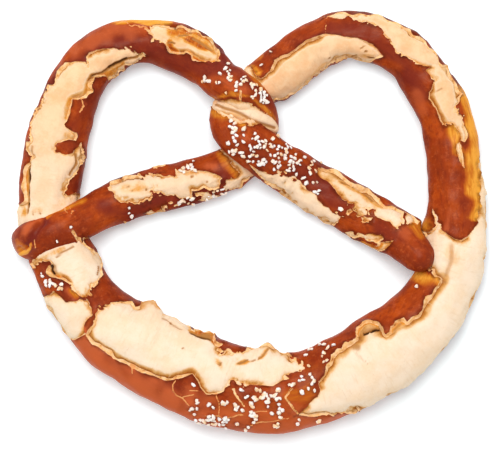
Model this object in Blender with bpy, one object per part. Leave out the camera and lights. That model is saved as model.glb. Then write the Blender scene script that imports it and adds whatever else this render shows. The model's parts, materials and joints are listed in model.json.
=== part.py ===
"""Soft pretzel: one rope of dough, looped and crossed twice, with its two ends laid on the belly.

The rope is swept along a hand-laid route. It crosses itself in a knot above the middle, and the
two arms that leave the knot come down over the belly on either side. It lies flat on its baked
underside at z = 0.
"""

import math

import bmesh
import bpy
from mathutils import Vector

MM = 0.001

# The rope's route, end to end. Each row is one place along it, in millimetres: x, y, the rope's
# width there, its height, and how high its underside is above the table.
ROUTE = [
    # the left end, draped over the left side of the belly
    (-84.5, -10.5, 13.5, 11.5, 4.0),
    (-79.0, -7.0, 13.5, 12.5, 7.0),
    (-71.0, -3.5, 14.5, 12.5, 9.0),
    (-61.5, 0.5, 14.5, 13.0, 6.5),
    # the left arm, up to the knot
    (-49.5, 6.5, 14.5, 13.5, 1.5),
    (-36.0, 11.0, 16.0, 13.5, 0.0),
    (-22.0, 14.5, 16.0, 13.0, 0.0),
    (-11.0, 18.0, 16.0, 12.5, 0.0),
    # under the lower crossing, round, and over the upper crossing
    (-2.0, 23.5, 15.5, 12.0, 0.0),
    (2.5, 31.0, 15.5, 12.0, 0.5),
    (2.5, 39.0, 14.5, 14.0, 5.0),
    (-2.3, 45.9, 13.2, 14.5, 9.5),
    (-10.0, 51.1, 14.2, 14.5, 6.0),
    (-17.5, 58.0, 17.0, 14.5, 1.0),
    # the left loop
    (-27.5, 63.5, 18.0, 15.0, 0.0),
    (-37.5, 65.0, 15.5, 15.0, 0.0),
    (-47.0, 64.0, 17.0, 15.5, 0.0),
    (-56.5, 58.0, 18.5, 16.0, 0.0),
    (-63.0, 48.5, 19.5, 16.5, 0.0),
    (-67.0, 38.0, 21.0, 17.0, 0.0),
    (-70.0, 27.0, 22.5, 17.5, 0.0),
    (-72.0, 16.0, 22.0, 17.0, 0.0),
    (-72.5, 5.0, 21.5, 17.0, 0.0),
    (-70.5, -6.0, 22.0, 17.5, 0.0),
    (-66.0, -16.0, 24.0, 19.0, 0.0),
    (-61.5, -25.5, 24.5, 20.0, 0.0),
    # the belly
    (-55.5, -33.5, 26.0, 21.0, 0.0),
    (-47.5, -40.5, 28.5, 22.0, 0.0),
    (-36.5, -47.0, 30.0, 22.5, 0.0),
    (-25.5, -52.5, 30.5, 22.5, 0.0),
    (-13.0, -57.5, 31.0, 22.5, 0.0),
    (0.0, -61.0, 29.5, 22.0, 0.0),
    (13.0, -61.5, 28.5, 21.5, 0.0),
    (25.5, -58.5, 28.0, 21.5, 0.0),
    (37.5, -53.0, 28.5, 22.0, 0.0),
    (48.0, -46.5, 29.5, 22.0, 0.0),
    (58.5, -38.5, 26.5, 21.0, 0.0),
    (66.5, -29.0, 24.5, 20.0, 0.0),
    (71.5, -18.0, 24.0, 19.0, 0.0),
    (74.0, -6.0, 22.5, 18.5, 0.0),
    # the right loop
    (74.5, 6.5, 20.5, 18.0, 0.0),
    (73.5, 18.5, 19.0, 17.5, 0.0),
    (72.5, 30.0, 19.0, 17.0, 0.0),
    (69.0, 41.5, 19.0, 16.5, 0.0),
    (63.0, 52.0, 18.5, 16.0, 0.0),
    (55.0, 61.0, 17.5, 15.5, 0.0),
    (45.0, 66.0, 17.5, 15.5, 0.0),
    (34.0, 67.5, 17.0, 15.0, 0.0),
    (24.0, 64.0, 17.5, 15.0, 0.0),
    (16.0, 58.0, 18.5, 14.5, 0.0),
    # under the upper crossing, round, and over the lower crossing
    (8.5, 52.5, 18.0, 13.5, 0.0),
    (1.5, 48.0, 16.0, 12.5, 0.0),
    (-5.0, 42.0, 15.0, 12.5, 2.5),
    (-6.5, 35.5, 16.0, 13.5, 7.0),
    (-2.5, 30.0, 16.0, 13.5, 10.5),
    (4.5, 25.0, 16.0, 14.0, 8.5),
    # the right arm, down to the right end on the belly
    (12.0, 20.0, 16.5, 14.0, 3.5),
    (20.5, 14.5, 17.5, 14.0, 0.0),
    (31.0, 8.5, 18.5, 14.0, 0.0),
    (42.0, 2.0, 18.0, 13.5, 0.5),
    (52.1, -3.8, 17.0, 13.0, 5.0),
    (58.0, -9.5, 13.9, 12.5, 9.5),
    (64.5, -16.2, 11.5, 12.0, 11.0),
]

RING_SPACING = 3.2 * MM
RING_SIDES = 20
STEPS_BETWEEN_ROWS = 12
TIP_LENGTH = 6.0 * MM
TIP_RINGS = 5

# The rope is widest below half its height, where the dough spread before it set.
WIDEST_AT = 0.42
# The half ellipse below the widest level is deeper than that, and the table cuts it flat.
SUNK_BY = 1.2

# Where the lye skin burst, the dough swelled out between the torn edges: the stretch of the rope,
# as first and last row of the route, which way up the side it faces (0 is straight up, and 90 is
# to the left of the way the route runs), and how far it swelled, in millimetres.
BURSTS = [
    (4.5, 7.5, 10, 0.6),
    (16.5, 23.0, -25, 1.0),
    (26.0, 32.5, 25, 1.2),
    (33.0, 40.5, -10, 1.2),
    (42.0, 47.5, -30, 1.0),
    (56.5, 60.5, -10, 0.7),
]
BURST_SPREAD = math.radians(70)

# The cutter that makes the flat underside is larger than the pretzel.
TABLE_BLOCK = (0.3, 0.3, 0.1)

# Between the two crossings the dough fused into one lump: its middle, and its radius.
LUMP_AT = (0.5, 37.0, 12.0)
LUMP_RADIUS = 4.0

CRUST_COLOUR = (0.34, 0.06, 0.018, 1.0)
CRUST_ROUGHNESS = 0.35


def clear_scene():
    """Removes whatever objects the file holds."""
    for old in list(bpy.data.objects):
        bpy.data.objects.remove(old, do_unlink=True)


def route_at(place):
    """The route's row at a fractional place, on a Catmull-Rom curve through the rows."""
    row = min(int(place), len(ROUTE) - 2)
    part = place - row
    before = ROUTE[max(row - 1, 0)]
    start = ROUTE[row]
    end = ROUTE[row + 1]
    after = ROUTE[min(row + 2, len(ROUTE) - 1)]
    return [
        0.5 * (2 * b + (c - a) * part + (2 * a - 5 * b + 4 * c - d) * part ** 2
               + (3 * b - a - 3 * c + d) * part ** 3)
        for a, b, c, d in zip(before, start, end, after)
    ]


def centre_at(place):
    """The middle of the rope over the table, in plan."""
    x, y = route_at(place)[:2]
    return Vector((x, y)) * MM


def even_places():
    """Places along the route one ring spacing apart, and how far along each one is."""
    steps = (len(ROUTE) - 1) * STEPS_BETWEEN_ROWS
    fine = [step / STEPS_BETWEEN_ROWS for step in range(steps + 1)]
    run = [0.0]
    for start, end in zip(fine, fine[1:]):
        run.append(run[-1] + (centre_at(end) - centre_at(start)).length)
    tip_angles = [math.pi / 2 * ring / TIP_RINGS for ring in range(1, TIP_RINGS + 1)]
    tip_runs = [TIP_LENGTH * (1 - math.cos(angle)) for angle in tip_angles]
    between = run[-1] - 2 * TIP_LENGTH
    rings = round(between / RING_SPACING)
    along = tip_runs + [TIP_LENGTH + between * ring / rings for ring in range(1, rings)]
    along += [run[-1] - tip for tip in reversed(tip_runs)]
    places = []
    step = 0
    for distance in along:
        while run[step + 1] < distance:
            step += 1
        part = (distance - run[step]) / (run[step + 1] - run[step])
        places.append(fine[step] + part / STEPS_BETWEEN_ROWS)
    return places, along, run[-1]


def tip_scale(distance, length):
    """How much the rope has narrowed here to round off its nearer end."""
    left = min(distance, length - distance) / TIP_LENGTH
    return 1.0 if left >= 1 else math.sqrt(1 - (1 - left) ** 2)


def swelling(place, up_angle):
    """How far the burst dough stands out here, in millimetres."""
    total = 0.0
    for first, last, faces, amount in BURSTS:
        if first < place < last:
            lengthwise = math.sin(math.pi * (place - first) / (last - first)) ** 0.5
            off = min(abs(up_angle - math.radians(faces)) / BURST_SPREAD, 1.0)
            total += amount * lengthwise * math.cos(off * math.pi / 2) ** 2
    return total


def shape_ring(ring, place, narrowing):
    """Moves a ring of vertices to where the rope's skin is at this place along the route."""
    width, height, lift = route_at(place)[2:]
    ahead = min(place + 0.05, len(ROUTE) - 1)
    back = max(place - 0.05, 0)
    forward = (centre_at(ahead) - centre_at(back)).normalized()
    left = Vector((-forward.y, forward.x))
    middle = centre_at(place)
    for number, vertex in enumerate(ring):
        # 0 is straight up, and the angle grows towards the left of the way forward.
        angle = 2 * math.pi * number / RING_SIDES
        turned = math.remainder(angle, 2 * math.pi)
        across = math.sin(angle) * width / 2
        if math.cos(angle) > 0:
            level = math.cos(angle) * height * (1 - WIDEST_AT)
        else:
            level = math.cos(angle) * height * WIDEST_AT * SUNK_BY
        swell = 1 + 2 * swelling(place, turned) / width
        point = middle + left * across * MM * narrowing * swell
        up = height * WIDEST_AT + level * narrowing * swell + lift
        vertex.co = (point.x, point.y, up * MM)


def rope_mesh():
    """The whole rope as one closed tube, which still passes through itself at the crossings."""
    mesh = bmesh.new()
    places, along, length = even_places()
    made = bmesh.ops.create_circle(mesh, segments=RING_SIDES, radius=MM)
    ring = made["verts"]
    shape_ring(ring, places[0], tip_scale(along[0], length))
    bmesh.ops.contextual_create(mesh, geom=list(mesh.edges))
    edges = list(mesh.edges)
    for place, distance in zip(places[1:], along[1:]):
        grown = bmesh.ops.extrude_edge_only(mesh, edges=edges)["geom"]
        upper = {item for item in grown if isinstance(item, bmesh.types.BMVert)}
        ring = [next(edge.other_vert(old) for edge in old.link_edges
                     if edge.other_vert(old) in upper) for old in ring]
        edges = [item for item in grown if isinstance(item, bmesh.types.BMEdge)
                 and item.verts[0] in upper and item.verts[1] in upper]
        shape_ring(ring, place, tip_scale(distance, length))
    bmesh.ops.contextual_create(mesh, geom=edges)
    bmesh.ops.recalc_face_normals(mesh, faces=mesh.faces)
    return mesh


def helper(name, mesh):
    """An object that only a Boolean uses."""
    data = bpy.data.meshes.new(name)
    mesh.to_mesh(data)
    mesh.free()
    made = bpy.data.objects.new(name, data)
    made.hide_render = True
    made.display_type = "WIRE"
    bpy.context.scene.collection.objects.link(made)
    return made


def table_block():
    """What the dough can't sink into: a block whose top is the table, wider than the pretzel."""
    mesh = bmesh.new()
    bmesh.ops.create_cube(mesh, size=1.0)
    bmesh.ops.scale(mesh, vec=TABLE_BLOCK, verts=mesh.verts)
    bmesh.ops.translate(mesh, vec=(0, 0, -TABLE_BLOCK[2] / 2), verts=mesh.verts)
    return helper("table_cutter", mesh)


def fused_lump():
    """The dough that closes the last gap between the ropes inside the knot."""
    mesh = bmesh.new()
    bmesh.ops.create_icosphere(mesh, subdivisions=2, radius=LUMP_RADIUS * MM)
    bmesh.ops.translate(mesh, vec=Vector(LUMP_AT) * MM, verts=mesh.verts)
    return helper("knot_lump", mesh)


def crust_material():
    """Browned lye crust, a little glossy."""
    material = bpy.data.materials.new("lye_crust")
    material.use_nodes = True
    shader = material.node_tree.nodes["Principled BSDF"]
    shader.inputs["Base Color"].default_value = CRUST_COLOUR
    shader.inputs["Roughness"].default_value = CRUST_ROUGHNESS
    shader.inputs["Metallic"].default_value = 0.0
    return material


def make_pretzel():
    """The rope fused where it crosses itself, and flat where it lay on the table."""
    mesh = rope_mesh()
    data = bpy.data.meshes.new("pretzel")
    mesh.to_mesh(data)
    mesh.free()
    pretzel = bpy.data.objects.new("pretzel", data)
    pretzel.data.materials.append(crust_material())
    bpy.context.scene.collection.objects.link(pretzel)
    fuse = pretzel.modifiers.new("fused crossings", "BOOLEAN")
    fuse.operation = "UNION"
    fuse.solver = "EXACT"
    fuse.use_self = True
    fuse.object = fused_lump()
    flatten = pretzel.modifiers.new("flat underside", "BOOLEAN")
    flatten.operation = "DIFFERENCE"
    flatten.solver = "EXACT"
    flatten.object = table_block()
    return pretzel


clear_scene()
make_pretzel()
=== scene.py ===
"""Soft pretzel: a rope of dough in a browned lye crust, burst open to the pale crumb, with coarse salt.

The rope's skin is a sheet rolled round the same route as the solid underneath. Outlines drawn on
the skin say where the crust burst. The skin is cut along them, and the crumb between them is sunk
under the torn edge and swollen in the middle.
"""

import math

import bmesh
import bpy
import numpy as np
from mathutils import Euler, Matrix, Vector
from mathutils.bvhtree import BVHTree
from mathutils.kdtree import KDTree
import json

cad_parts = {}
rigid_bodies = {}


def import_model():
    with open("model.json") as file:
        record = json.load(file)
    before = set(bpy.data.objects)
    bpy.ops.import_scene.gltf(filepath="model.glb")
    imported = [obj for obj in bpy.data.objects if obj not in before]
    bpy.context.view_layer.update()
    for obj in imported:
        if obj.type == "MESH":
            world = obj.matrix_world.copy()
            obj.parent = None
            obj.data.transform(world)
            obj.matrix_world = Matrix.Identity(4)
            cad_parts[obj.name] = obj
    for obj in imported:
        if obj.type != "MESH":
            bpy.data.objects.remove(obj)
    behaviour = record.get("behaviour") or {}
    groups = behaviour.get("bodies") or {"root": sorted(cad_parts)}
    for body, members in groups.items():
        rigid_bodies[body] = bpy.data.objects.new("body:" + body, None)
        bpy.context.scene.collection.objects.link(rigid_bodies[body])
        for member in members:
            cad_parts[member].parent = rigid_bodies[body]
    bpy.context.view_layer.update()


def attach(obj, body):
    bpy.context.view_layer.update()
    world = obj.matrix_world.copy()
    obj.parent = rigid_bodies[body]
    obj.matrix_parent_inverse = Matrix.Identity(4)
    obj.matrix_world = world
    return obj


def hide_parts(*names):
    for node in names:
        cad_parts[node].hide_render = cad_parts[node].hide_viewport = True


MM = 0.001

# The rope's route, end to end. Each row is one place along it, in millimetres: x, y, the rope's
# width there, its height, and how high its underside is above the table.
ROUTE = np.array([
    # the left end, draped over the left side of the belly
    (-84.5, -10.5, 13.5, 11.5, 4.0),
    (-79.0, -7.0, 13.5, 12.5, 7.0),
    (-71.0, -3.5, 14.5, 12.5, 9.0),
    (-61.5, 0.5, 14.5, 13.0, 6.5),
    # the left arm, up to the knot
    (-49.5, 6.5, 14.5, 13.5, 1.5),
    (-36.0, 11.0, 16.0, 13.5, 0.0),
    (-22.0, 14.5, 16.0, 13.0, 0.0),
    (-11.0, 18.0, 16.0, 12.5, 0.0),
    # under the lower crossing, round, and over the upper crossing
    (-2.0, 23.5, 15.5, 12.0, 0.0),
    (2.5, 31.0, 15.5, 12.0, 0.5),
    (2.5, 39.0, 14.5, 14.0, 5.0),
    (-2.3, 45.9, 13.2, 14.5, 9.5),
    (-10.0, 51.1, 14.2, 14.5, 6.0),
    (-17.5, 58.0, 17.0, 14.5, 1.0),
    # the left loop
    (-27.5, 63.5, 18.0, 15.0, 0.0),
    (-37.5, 65.0, 15.5, 15.0, 0.0),
    (-47.0, 64.0, 17.0, 15.5, 0.0),
    (-56.5, 58.0, 18.5, 16.0, 0.0),
    (-63.0, 48.5, 19.5, 16.5, 0.0),
    (-67.0, 38.0, 21.0, 17.0, 0.0),
    (-70.0, 27.0, 22.5, 17.5, 0.0),
    (-72.0, 16.0, 22.0, 17.0, 0.0),
    (-72.5, 5.0, 21.5, 17.0, 0.0),
    (-70.5, -6.0, 22.0, 17.5, 0.0),
    (-66.0, -16.0, 24.0, 19.0, 0.0),
    (-61.5, -25.5, 24.5, 20.0, 0.0),
    # the belly
    (-55.5, -33.5, 26.0, 21.0, 0.0),
    (-47.5, -40.5, 28.5, 22.0, 0.0),
    (-36.5, -47.0, 30.0, 22.5, 0.0),
    (-25.5, -52.5, 30.5, 22.5, 0.0),
    (-13.0, -57.5, 31.0, 22.5, 0.0),
    (0.0, -61.0, 29.5, 22.0, 0.0),
    (13.0, -61.5, 28.5, 21.5, 0.0),
    (25.5, -58.5, 28.0, 21.5, 0.0),
    (37.5, -53.0, 28.5, 22.0, 0.0),
    (48.0, -46.5, 29.5, 22.0, 0.0),
    (58.5, -38.5, 26.5, 21.0, 0.0),
    (66.5, -29.0, 24.5, 20.0, 0.0),
    (71.5, -18.0, 24.0, 19.0, 0.0),
    (74.0, -6.0, 22.5, 18.5, 0.0),
    # the right loop
    (74.5, 6.5, 20.5, 18.0, 0.0),
    (73.5, 18.5, 19.0, 17.5, 0.0),
    (72.5, 30.0, 19.0, 17.0, 0.0),
    (69.0, 41.5, 19.0, 16.5, 0.0),
    (63.0, 52.0, 18.5, 16.0, 0.0),
    (55.0, 61.0, 17.5, 15.5, 0.0),
    (45.0, 66.0, 17.5, 15.5, 0.0),
    (34.0, 67.5, 17.0, 15.0, 0.0),
    (24.0, 64.0, 17.5, 15.0, 0.0),
    (16.0, 58.0, 18.5, 14.5, 0.0),
    # under the upper crossing, round, and over the lower crossing
    (8.5, 52.5, 18.0, 13.5, 0.0),
    (1.5, 48.0, 16.0, 12.5, 0.0),
    (-5.0, 42.0, 15.0, 12.5, 2.5),
    (-6.5, 35.5, 16.0, 13.5, 7.0),
    (-2.5, 30.0, 16.0, 13.5, 10.5),
    (4.5, 25.0, 16.0, 14.0, 8.5),
    # the right arm, down to the right end on the belly
    (12.0, 20.0, 16.5, 14.0, 3.5),
    (20.5, 14.5, 17.5, 14.0, 0.0),
    (31.0, 8.5, 18.5, 14.0, 0.0),
    (42.0, 2.0, 18.0, 13.5, 0.5),
    (52.1, -3.8, 17.0, 13.0, 5.0),
    (58.0, -9.5, 13.9, 12.5, 9.5),
    (64.5, -16.2, 11.5, 12.0, 11.0),
])

# The rope's cross-section, as in the solid: where it is widest, and how it sinks into the table.
WIDEST_AT = 0.42
SUNK_BY = 1.2
TIP_LENGTH = 6.0

# The sheet that is rolled into the skin: the step along the rope, the points round it, and those
# of them that lie across the flat underside. Lengths are in millimetres.
STEP = 1.4
ROUND_POINTS = 54
FLAT_POINTS = 2
FINER_ON_TOP = 0.25
STEEPEST = math.radians(172)

# Where the crust burst: the stretch of the route, by its rows, and the outline in millimetres. An
# outline that leaves the rope's silhouette runs on down the side, as if the side were laid flat.
TEARS = {
    "left_loop": ((13.5, 24.0), [
        (-37, 59.5), (-39, 61), (-42, 62), (-48.5, 62.5), (-55, 61.5), (-57.5, 60.5), (-58.5, 59),
        (-58, 56), (-59, 57), (-61, 57.5), (-64, 57), (-66, 57), (-67.5, 55.5), (-69, 54),
        (-69.5, 51.5), (-70.5, 49), (-72, 49.5), (-73, 47.5), (-74.5, 44.5), (-76, 41.5),
        (-77.5, 38.5), (-79, 35.5), (-78, 34), (-79, 32), (-78.5, 29.5), (-80, 28.5), (-80, 26),
        (-79, 24), (-77.5, 23.5), (-78, 22), (-79.5, 21), (-80.5, 20), (-81, 17.5), (-81.5, 13),
        (-81, 8), (-82.5, 6), (-85, 5.5), (-87, 3), (-87, -2), (-83, -6), (-74, -3), (-66, 0),
        (-61.5, 2), (-61, 10), (-64, 10.5), (-67, 10), (-66, 12), (-65, 14), (-63.5, 16.5),
        (-61.5, 19.5), (-61, 21), (-60, 23), (-59.5, 26), (-60.5, 28.5), (-62, 26.5), (-64, 24.5),
        (-66.5, 24), (-69, 25), (-69.5, 26), (-69, 27.5), (-68, 28.5), (-65, 29.5), (-62.5, 29),
        (-62, 30.5), (-62.5, 32), (-64, 32.5), (-66, 34), (-66.5, 35), (-65.5, 36), (-64.5, 38.5),
        (-64, 41.5), (-63.5, 43.5), (-60, 44), (-58.5, 45), (-57, 47), (-57, 49.5), (-56, 51.5),
        (-53, 52), (-51, 51), (-46.5, 54.5), (-43.5, 57.5), (-40, 59),
    ]),
    "left_top": ((11.5, 16.0), [
        (-36.2, 69.8), (-34, 70.6), (-31, 70.6), (-27.5, 70.3), (-24, 70.6), (-20.5, 69.6),
        (-16, 67.6), (-12.8, 65), (-11.2, 62.5), (-10.7, 60), (-10.6, 57.2), (-11.5, 56.4),
        (-12.6, 57.3), (-18.5, 57.2), (-20.6, 58.2), (-21.3, 59.6), (-22.8, 60.9), (-24, 59.9),
        (-26.5, 60), (-28.6, 60.7), (-29.6, 62.2), (-30.3, 63), (-32, 63.7), (-33.6, 65.2), (-35.2, 67.2),
    ]),
    "right_inner": ((44.5, 51.6), [
        (7.2, 54.3), (7.8, 56), (8.8, 57.8), (11, 59.5), (14.5, 60.5), (17, 62.5), (20, 65), (24, 66.5), (27, 67.5),
        (31, 67), (36, 66), (38.5, 66), (41.5, 65), (44, 63.5), (46, 61.5), (48, 59.5), (45.5, 59),
        (43, 57), (41, 56), (38.5, 57), (36, 58), (33.5, 58.5), (31, 58), (28.5, 56.5), (26, 54.5),
        (24, 52), (21, 49.8), (18.5, 48.3), (16, 46.5), (14, 46), (12, 44.5), (9.5, 44.5), (8, 43.8),
        (4.5, 43), (-4, 55), (-1.8, 57), (-0.3, 56.4), (1.2, 54.2), (2.9, 52.4), (4.2, 51.6), (5.6, 52.8),
    ]),
    "right_outer": ((41.0, 48.8), [
        (26.5, 73.5), (31, 73.5), (35, 73.5), (37, 72.5), (39.5, 72), (42, 71), (44.5, 70),
        (46.5, 69), (48, 68.5), (47.5, 67.5), (50, 65.5), (51.5, 63), (52, 60.5), (54, 60),
        (56.5, 58.5), (59.5, 57), (62, 56), (65, 55.5), (63, 54.5), (64, 52.5), (65, 51),
        (66, 50.5), (65, 48), (64, 46.5), (64, 44.5), (65.5, 42), (66.5, 40.5), (67.5, 38),
        (69, 34.5), (72, 35), (74, 34), (75, 31.5), (75.5, 29), (77, 28.5), (77.8, 30), (77.5, 33.5),
        (76.5, 36), (74.5, 38), (73.7, 41), (74.5, 44), (76, 46.5), (79, 51), (77.5, 55.5), (75, 60),
        (71.5, 65), (67, 69.5), (60, 73.5), (53, 77), (44.5, 79.5), (37.5, 80), (31.5, 79), (27, 76.5),
    ]),
    "right_crack_low": ((40.0, 43.0), [
        (74, 28), (75.3, 28.5), (75.8, 25), (76.3, 22), (76.5, 19), (75.5, 20), (74.5, 23), (73.7, 26),
    ]),
    "right_belly": ((32.0, 43.0), [
        (62, -6.5), (63, -4), (65, -3), (66.5, -1.5), (66, 1), (66, 3.5), (66.5, 4.5), (67, 2),
        (67.5, 0), (68, -1), (68.3, -3), (71, -4.7), (73, -6), (75.5, -6.5), (77.3, -5.5),
        (79, -4), (81, -1.5), (81.7, 2), (82.3, 6), (82, 10), (82.7, 12), (82, 15), (82.5, 18),
        (81.5, 21), (83, 23.5), (86, 24), (88, 14), (89, -1), (90, -8.5),
        (89, -17), (87, -25.5), (83.5, -34.5), (77.5, -44), (70, -52), (62, -59.5), (53, -66),
        (45, -68), (38.5, -67.5), (33, -68.5), (27, -69), (24, -69.5), (20.5, -69.5), (17.5, -68.5),
        (18, -67.5), (20, -66), (22, -64), (24, -62), (25, -60), (24.5, -57.5), (26.5, -54),
        (27, -51.5), (28.5, -49.5), (29, -48), (32, -45.5), (34.5, -43.5), (37, -42.5),
        (38, -41.5), (37.7, -39.5), (38.5, -37.5), (40.5, -35.8), (43, -35.2), (45.5, -35.8),
        (47.3, -37.3), (48, -39.5), (48.5, -40.3), (49.5, -39.3), (50.5, -37.2), (52.5, -35.2),
        (55, -34.3), (56, -35.5), (57.5, -34), (60, -33), (61.5, -31.5), (62, -29), (62.7, -26.6),
        (64.7, -26), (66.3, -23), (68.3, -20.5), (66, -19.5), (64, -16),
        (60, -10),
    ]),
    "left_belly": ((25.0, 34.5), [
        (-55, -33), (-54, -31.5), (-51.5, -30), (-50, -29), (-45.5, -28.5), (-42.5, -28.5),
        (-41, -30), (-39.5, -30), (-39, -27.5), (-36, -26.5), (-33.5, -27.5), (-31.5, -30),
        (-26, -32.5), (-22, -34.5), (-16, -36.5), (-11, -39), (-3.5, -42), (2, -42), (5.5, -40.5),
        (9, -42.5), (10.5, -46), (13.5, -48), (18, -50), (20, -52), (19, -53), (16, -54), (13, -55.5),
        (8, -58.5), (0, -58), (-2.5, -58.5), (-4.5, -57.5), (-6, -57), (-8.5, -59), (-9.5, -60.5),
        (-12, -61.5), (-15.5, -61.5), (-17.5, -59), (-19, -56), (-20.5, -54), (-24, -55.5),
        (-29.5, -56.5), (-32.5, -55.5), (-36, -54.5), (-39, -53.5), (-42.5, -52), (-45.5, -50),
        (-48.5, -48.5), (-51, -46.5), (-54, -44.5), (-56.5, -43.5), (-57.5, -42), (-58.5, -40.5),
        (-58, -39), (-56.5, -37), (-55.5, -35),
    ]),
    "left_side_up": ((22.0, 27.0), [
        (-78.5, -15), (-77, -12), (-73.5, -9), (-64, -5), (-61, -4), (-59, -8.5), (-57, -10),
        (-55, -11.5), (-54, -12.5), (-53, -14.5), (-53, -17), (-53.5, -19.5), (-54.5, -21.5),
        (-56, -23.5), (-57.5, -25), (-58.5, -27), (-59.5, -27), (-61, -25.5), (-63, -24),
        (-65, -22), (-67, -20.5), (-69, -20), (-71, -19.5), (-72.5, -18.5), (-73, -17),
        (-72.5, -16), (-71.5, -15), (-72, -14), (-75, -14.5), (-77.5, -16),
    ]),
    "left_side_low": ((23.5, 27.5), [
        (-70, -24.5), (-69, -25.5), (-67.5, -27), (-65.5, -28.5), (-62.5, -28.5), (-60.5, -28),
        (-58.5, -27.5), (-57.5, -29), (-56.5, -31), (-56, -33), (-57, -34), (-58.5, -35.5),
        (-59, -38), (-58.5, -40), (-60.5, -41), (-63.5, -42.5), (-68.5, -43), (-73.5, -37),
        (-75.5, -30), (-74, -27), (-71.5, -26),
    ]),
    "left_arm": ((3.0, 8.0), [
        (-51, 11.5), (-49, 14.5), (-47, 16), (-44.5, 17), (-40, 17.3), (-38, 16.6), (-36.5, 18.3),
        (-34, 17.5), (-31, 17), (-27.3, 16), (-26.5, 18), (-20, 18.3), (-15, 18), (-12, 17), (-10, 15.3),
        (-10.8, 13.6), (-12.5, 12.1), (-14.5, 11.5), (-16.5, 12.3), (-18.5, 11.2), (-20.8, 11.5),
        (-21, 9), (-23.5, 8.6), (-26, 9.2), (-30, 9.8), (-33, 10.6), (-34.8, 11.9), (-34.3, 10),
        (-36.5, 8), (-39, 6.8), (-41.5, 5.8), (-43.5, 6.6), (-46, 7.3), (-48, 8.5),
    ]),
    "arm_flap": ((1.5, 4.0), [(-59.8, -5.3), (-58.2, -5.5), (-57.6, -7), (-58.5, -8.5), (-59.8, -7)]),
    "arm_streak": ((4.0, 7.0), [
        (-38, 3.4), (-36, 2.6), (-33, 2.4), (-31, 3.6), (-29.6, 5), (-30.4, 5.9), (-31.6, 4.6),
        (-34.5, 4.2),
    ]),
    "arm_scraps": ((5.5, 8.0), [
        (-20, 10.5), (-15, 11), (-14.5, 10), (-12, 10), (-10.5, 9), (-15.5, 7.5), (-18.5, 8.5),
        (-17, 9.3), (-19.5, 9.3),
    ]),
    "arm_root": ((6.0, 9.0), [
        (-11, 26.5), (-4.5, 25), (2.5, 21), (2, 17.5), (0, 16), (-3, 13.5), (-6, 11.5), (-8.5, 11),
        (-9, 13), (-9, 15.3), (-6, 16.3), (-3.5, 17.8), (-5, 19.3), (-7, 22), (-9, 24.5),
    ]),
    "knot": ((8.5, 12.3), [
        (-14, 42.5), (-12.5, 43.2), (-10, 44), (-7, 44), (-3.5, 43.3), (0, 42.2), (2, 41), (5, 39.2),
        (7.5, 37), (9, 35), (10, 31), (4.5, 31.5), (-4, 34.5), (-10, 37.5), (-15, 42),
    ]),
    "knot_rim": ((51.0, 55.5), [
        (-16, 45), (-10, 45), (-4, 41), (4.5, 38), (10.5, 34), (10, 32), (7, 33.2), (3, 34.3),
        (-1, 34.8), (-5.5, 36), (-9, 37.7), (-11.5, 39), (-13, 41), (-14.5, 42),
    ]),
    "right_arm_low": ((54.5, 59.5), [
        (-0.5, 21), (4.5, 18.5), (13.5, 17), (17, 14.5), (19, 14), (20, 12.5), (22, 11), (24, 9.5),
        (24.5, 8), (26, 6.5), (28, 5), (29.5, 3.5), (31, 3), (34, 2.5), (31.5, 0), (30, -1.5),
        (26.5, -0.5), (20, 4), (14.5, 7), (12, 9.5), (9.5, 12), (4.5, 16),
    ]),
    "right_arm_up": ((56.0, 61.8), [
        (24.5, 19.5), (29.5, 19), (31.5, 18), (33.5, 16), (38, 13.5), (43, 11), (46.5, 8.3),
        (48, 6.5), (48.5, 5.5), (50.5, 5.3), (54, 4), (57, 2.8), (60.5, 1.2), (61.5, 0.5), (61.5, -0.5),
        (58, -1), (54, -0.5), (53, -2), (52, -3), (51.5, -1.5), (50.5, -0.5), (49, 0), (47, 1),
        (45, 2), (43, 2), (41, 2), (38.5, 2), (37, 3.5), (37.5, 6), (35.5, 6), (34.5, 7),
        (33, 8.5), (31, 10.5), (29.5, 12.5), (28, 14.5), (26, 15.5), (24, 17),
    ]),
    "right_arm_scrap": ((58.0, 61.0), [(35, 5), (36, 5), (36.5, 4), (36, 2.5), (35, 2.5)]),
    "right_arm_sliver": ((58.0, 61.0), [(39.5, 1), (40, 0), (43.5, 0), (44, 0.7), (42, 1.2)]),
    "under_arm": ((58.0, 61.0), [
        (34, -3.5), (38, -4.2), (44, -4.5), (47, -4.7), (48, -6), (46.5, -7), (48.5, -7),
        (51.5, -6.8), (50, -8.7), (48.5, -10), (45.5, -10.5), (43, -9.5), (39, -7.5), (36, -6),
    ]),
}

# Crust left standing inside a burst.
ISLANDS = {
    "belly_inner": ((29.5, 31.5), [
        (-14, -37), (-13, -41), (-12.3, -43.3), (-9.5, -43.8), (-11.5, -45.5), (-8.5, -46), (-8, -47),
        (-4.5, -47.7), (-4, -46.8), (-1.7, -46.5), (-1.5, -45), (0, -40),
    ]),
    "belly_scrap": ((28.0, 30.0), [(-22, -36.5), (-20.5, -37), (-20, -39), (-21.5, -38.5)]),
    "left_arm_scrap": ((4.5, 6.5), [
        (-35, 18), (-33, 18.3), (-30, 17), (-31, 16.4), (-33.5, 17), (-34.5, 16.6),
    ]),
    "right_arm_bar": ((58.0, 61.0), [(41.5, 5.5), (42.5, 5), (42.5, 1), (41.5, 1)]),
    "right_arm_hook": ((58.0, 61.5), [(43, 4.5), (45, 4.5), (45, 3.5), (44.2, 3.5), (44.5, 2), (43.2, 2)]),
    "right_arm_strip": ((59.5, 62.0), [(55, 3.2), (56, 3), (55.5, 1), (56, -0.8), (55, -0.8), (54.5, 1.5)]),
    "under_arm_bar": ((58.0, 61.0), [(36, -4.9), (41, -5.8), (46, -7.6), (46, -8.4), (41, -6.8), (37, -6)]),
}

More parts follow.
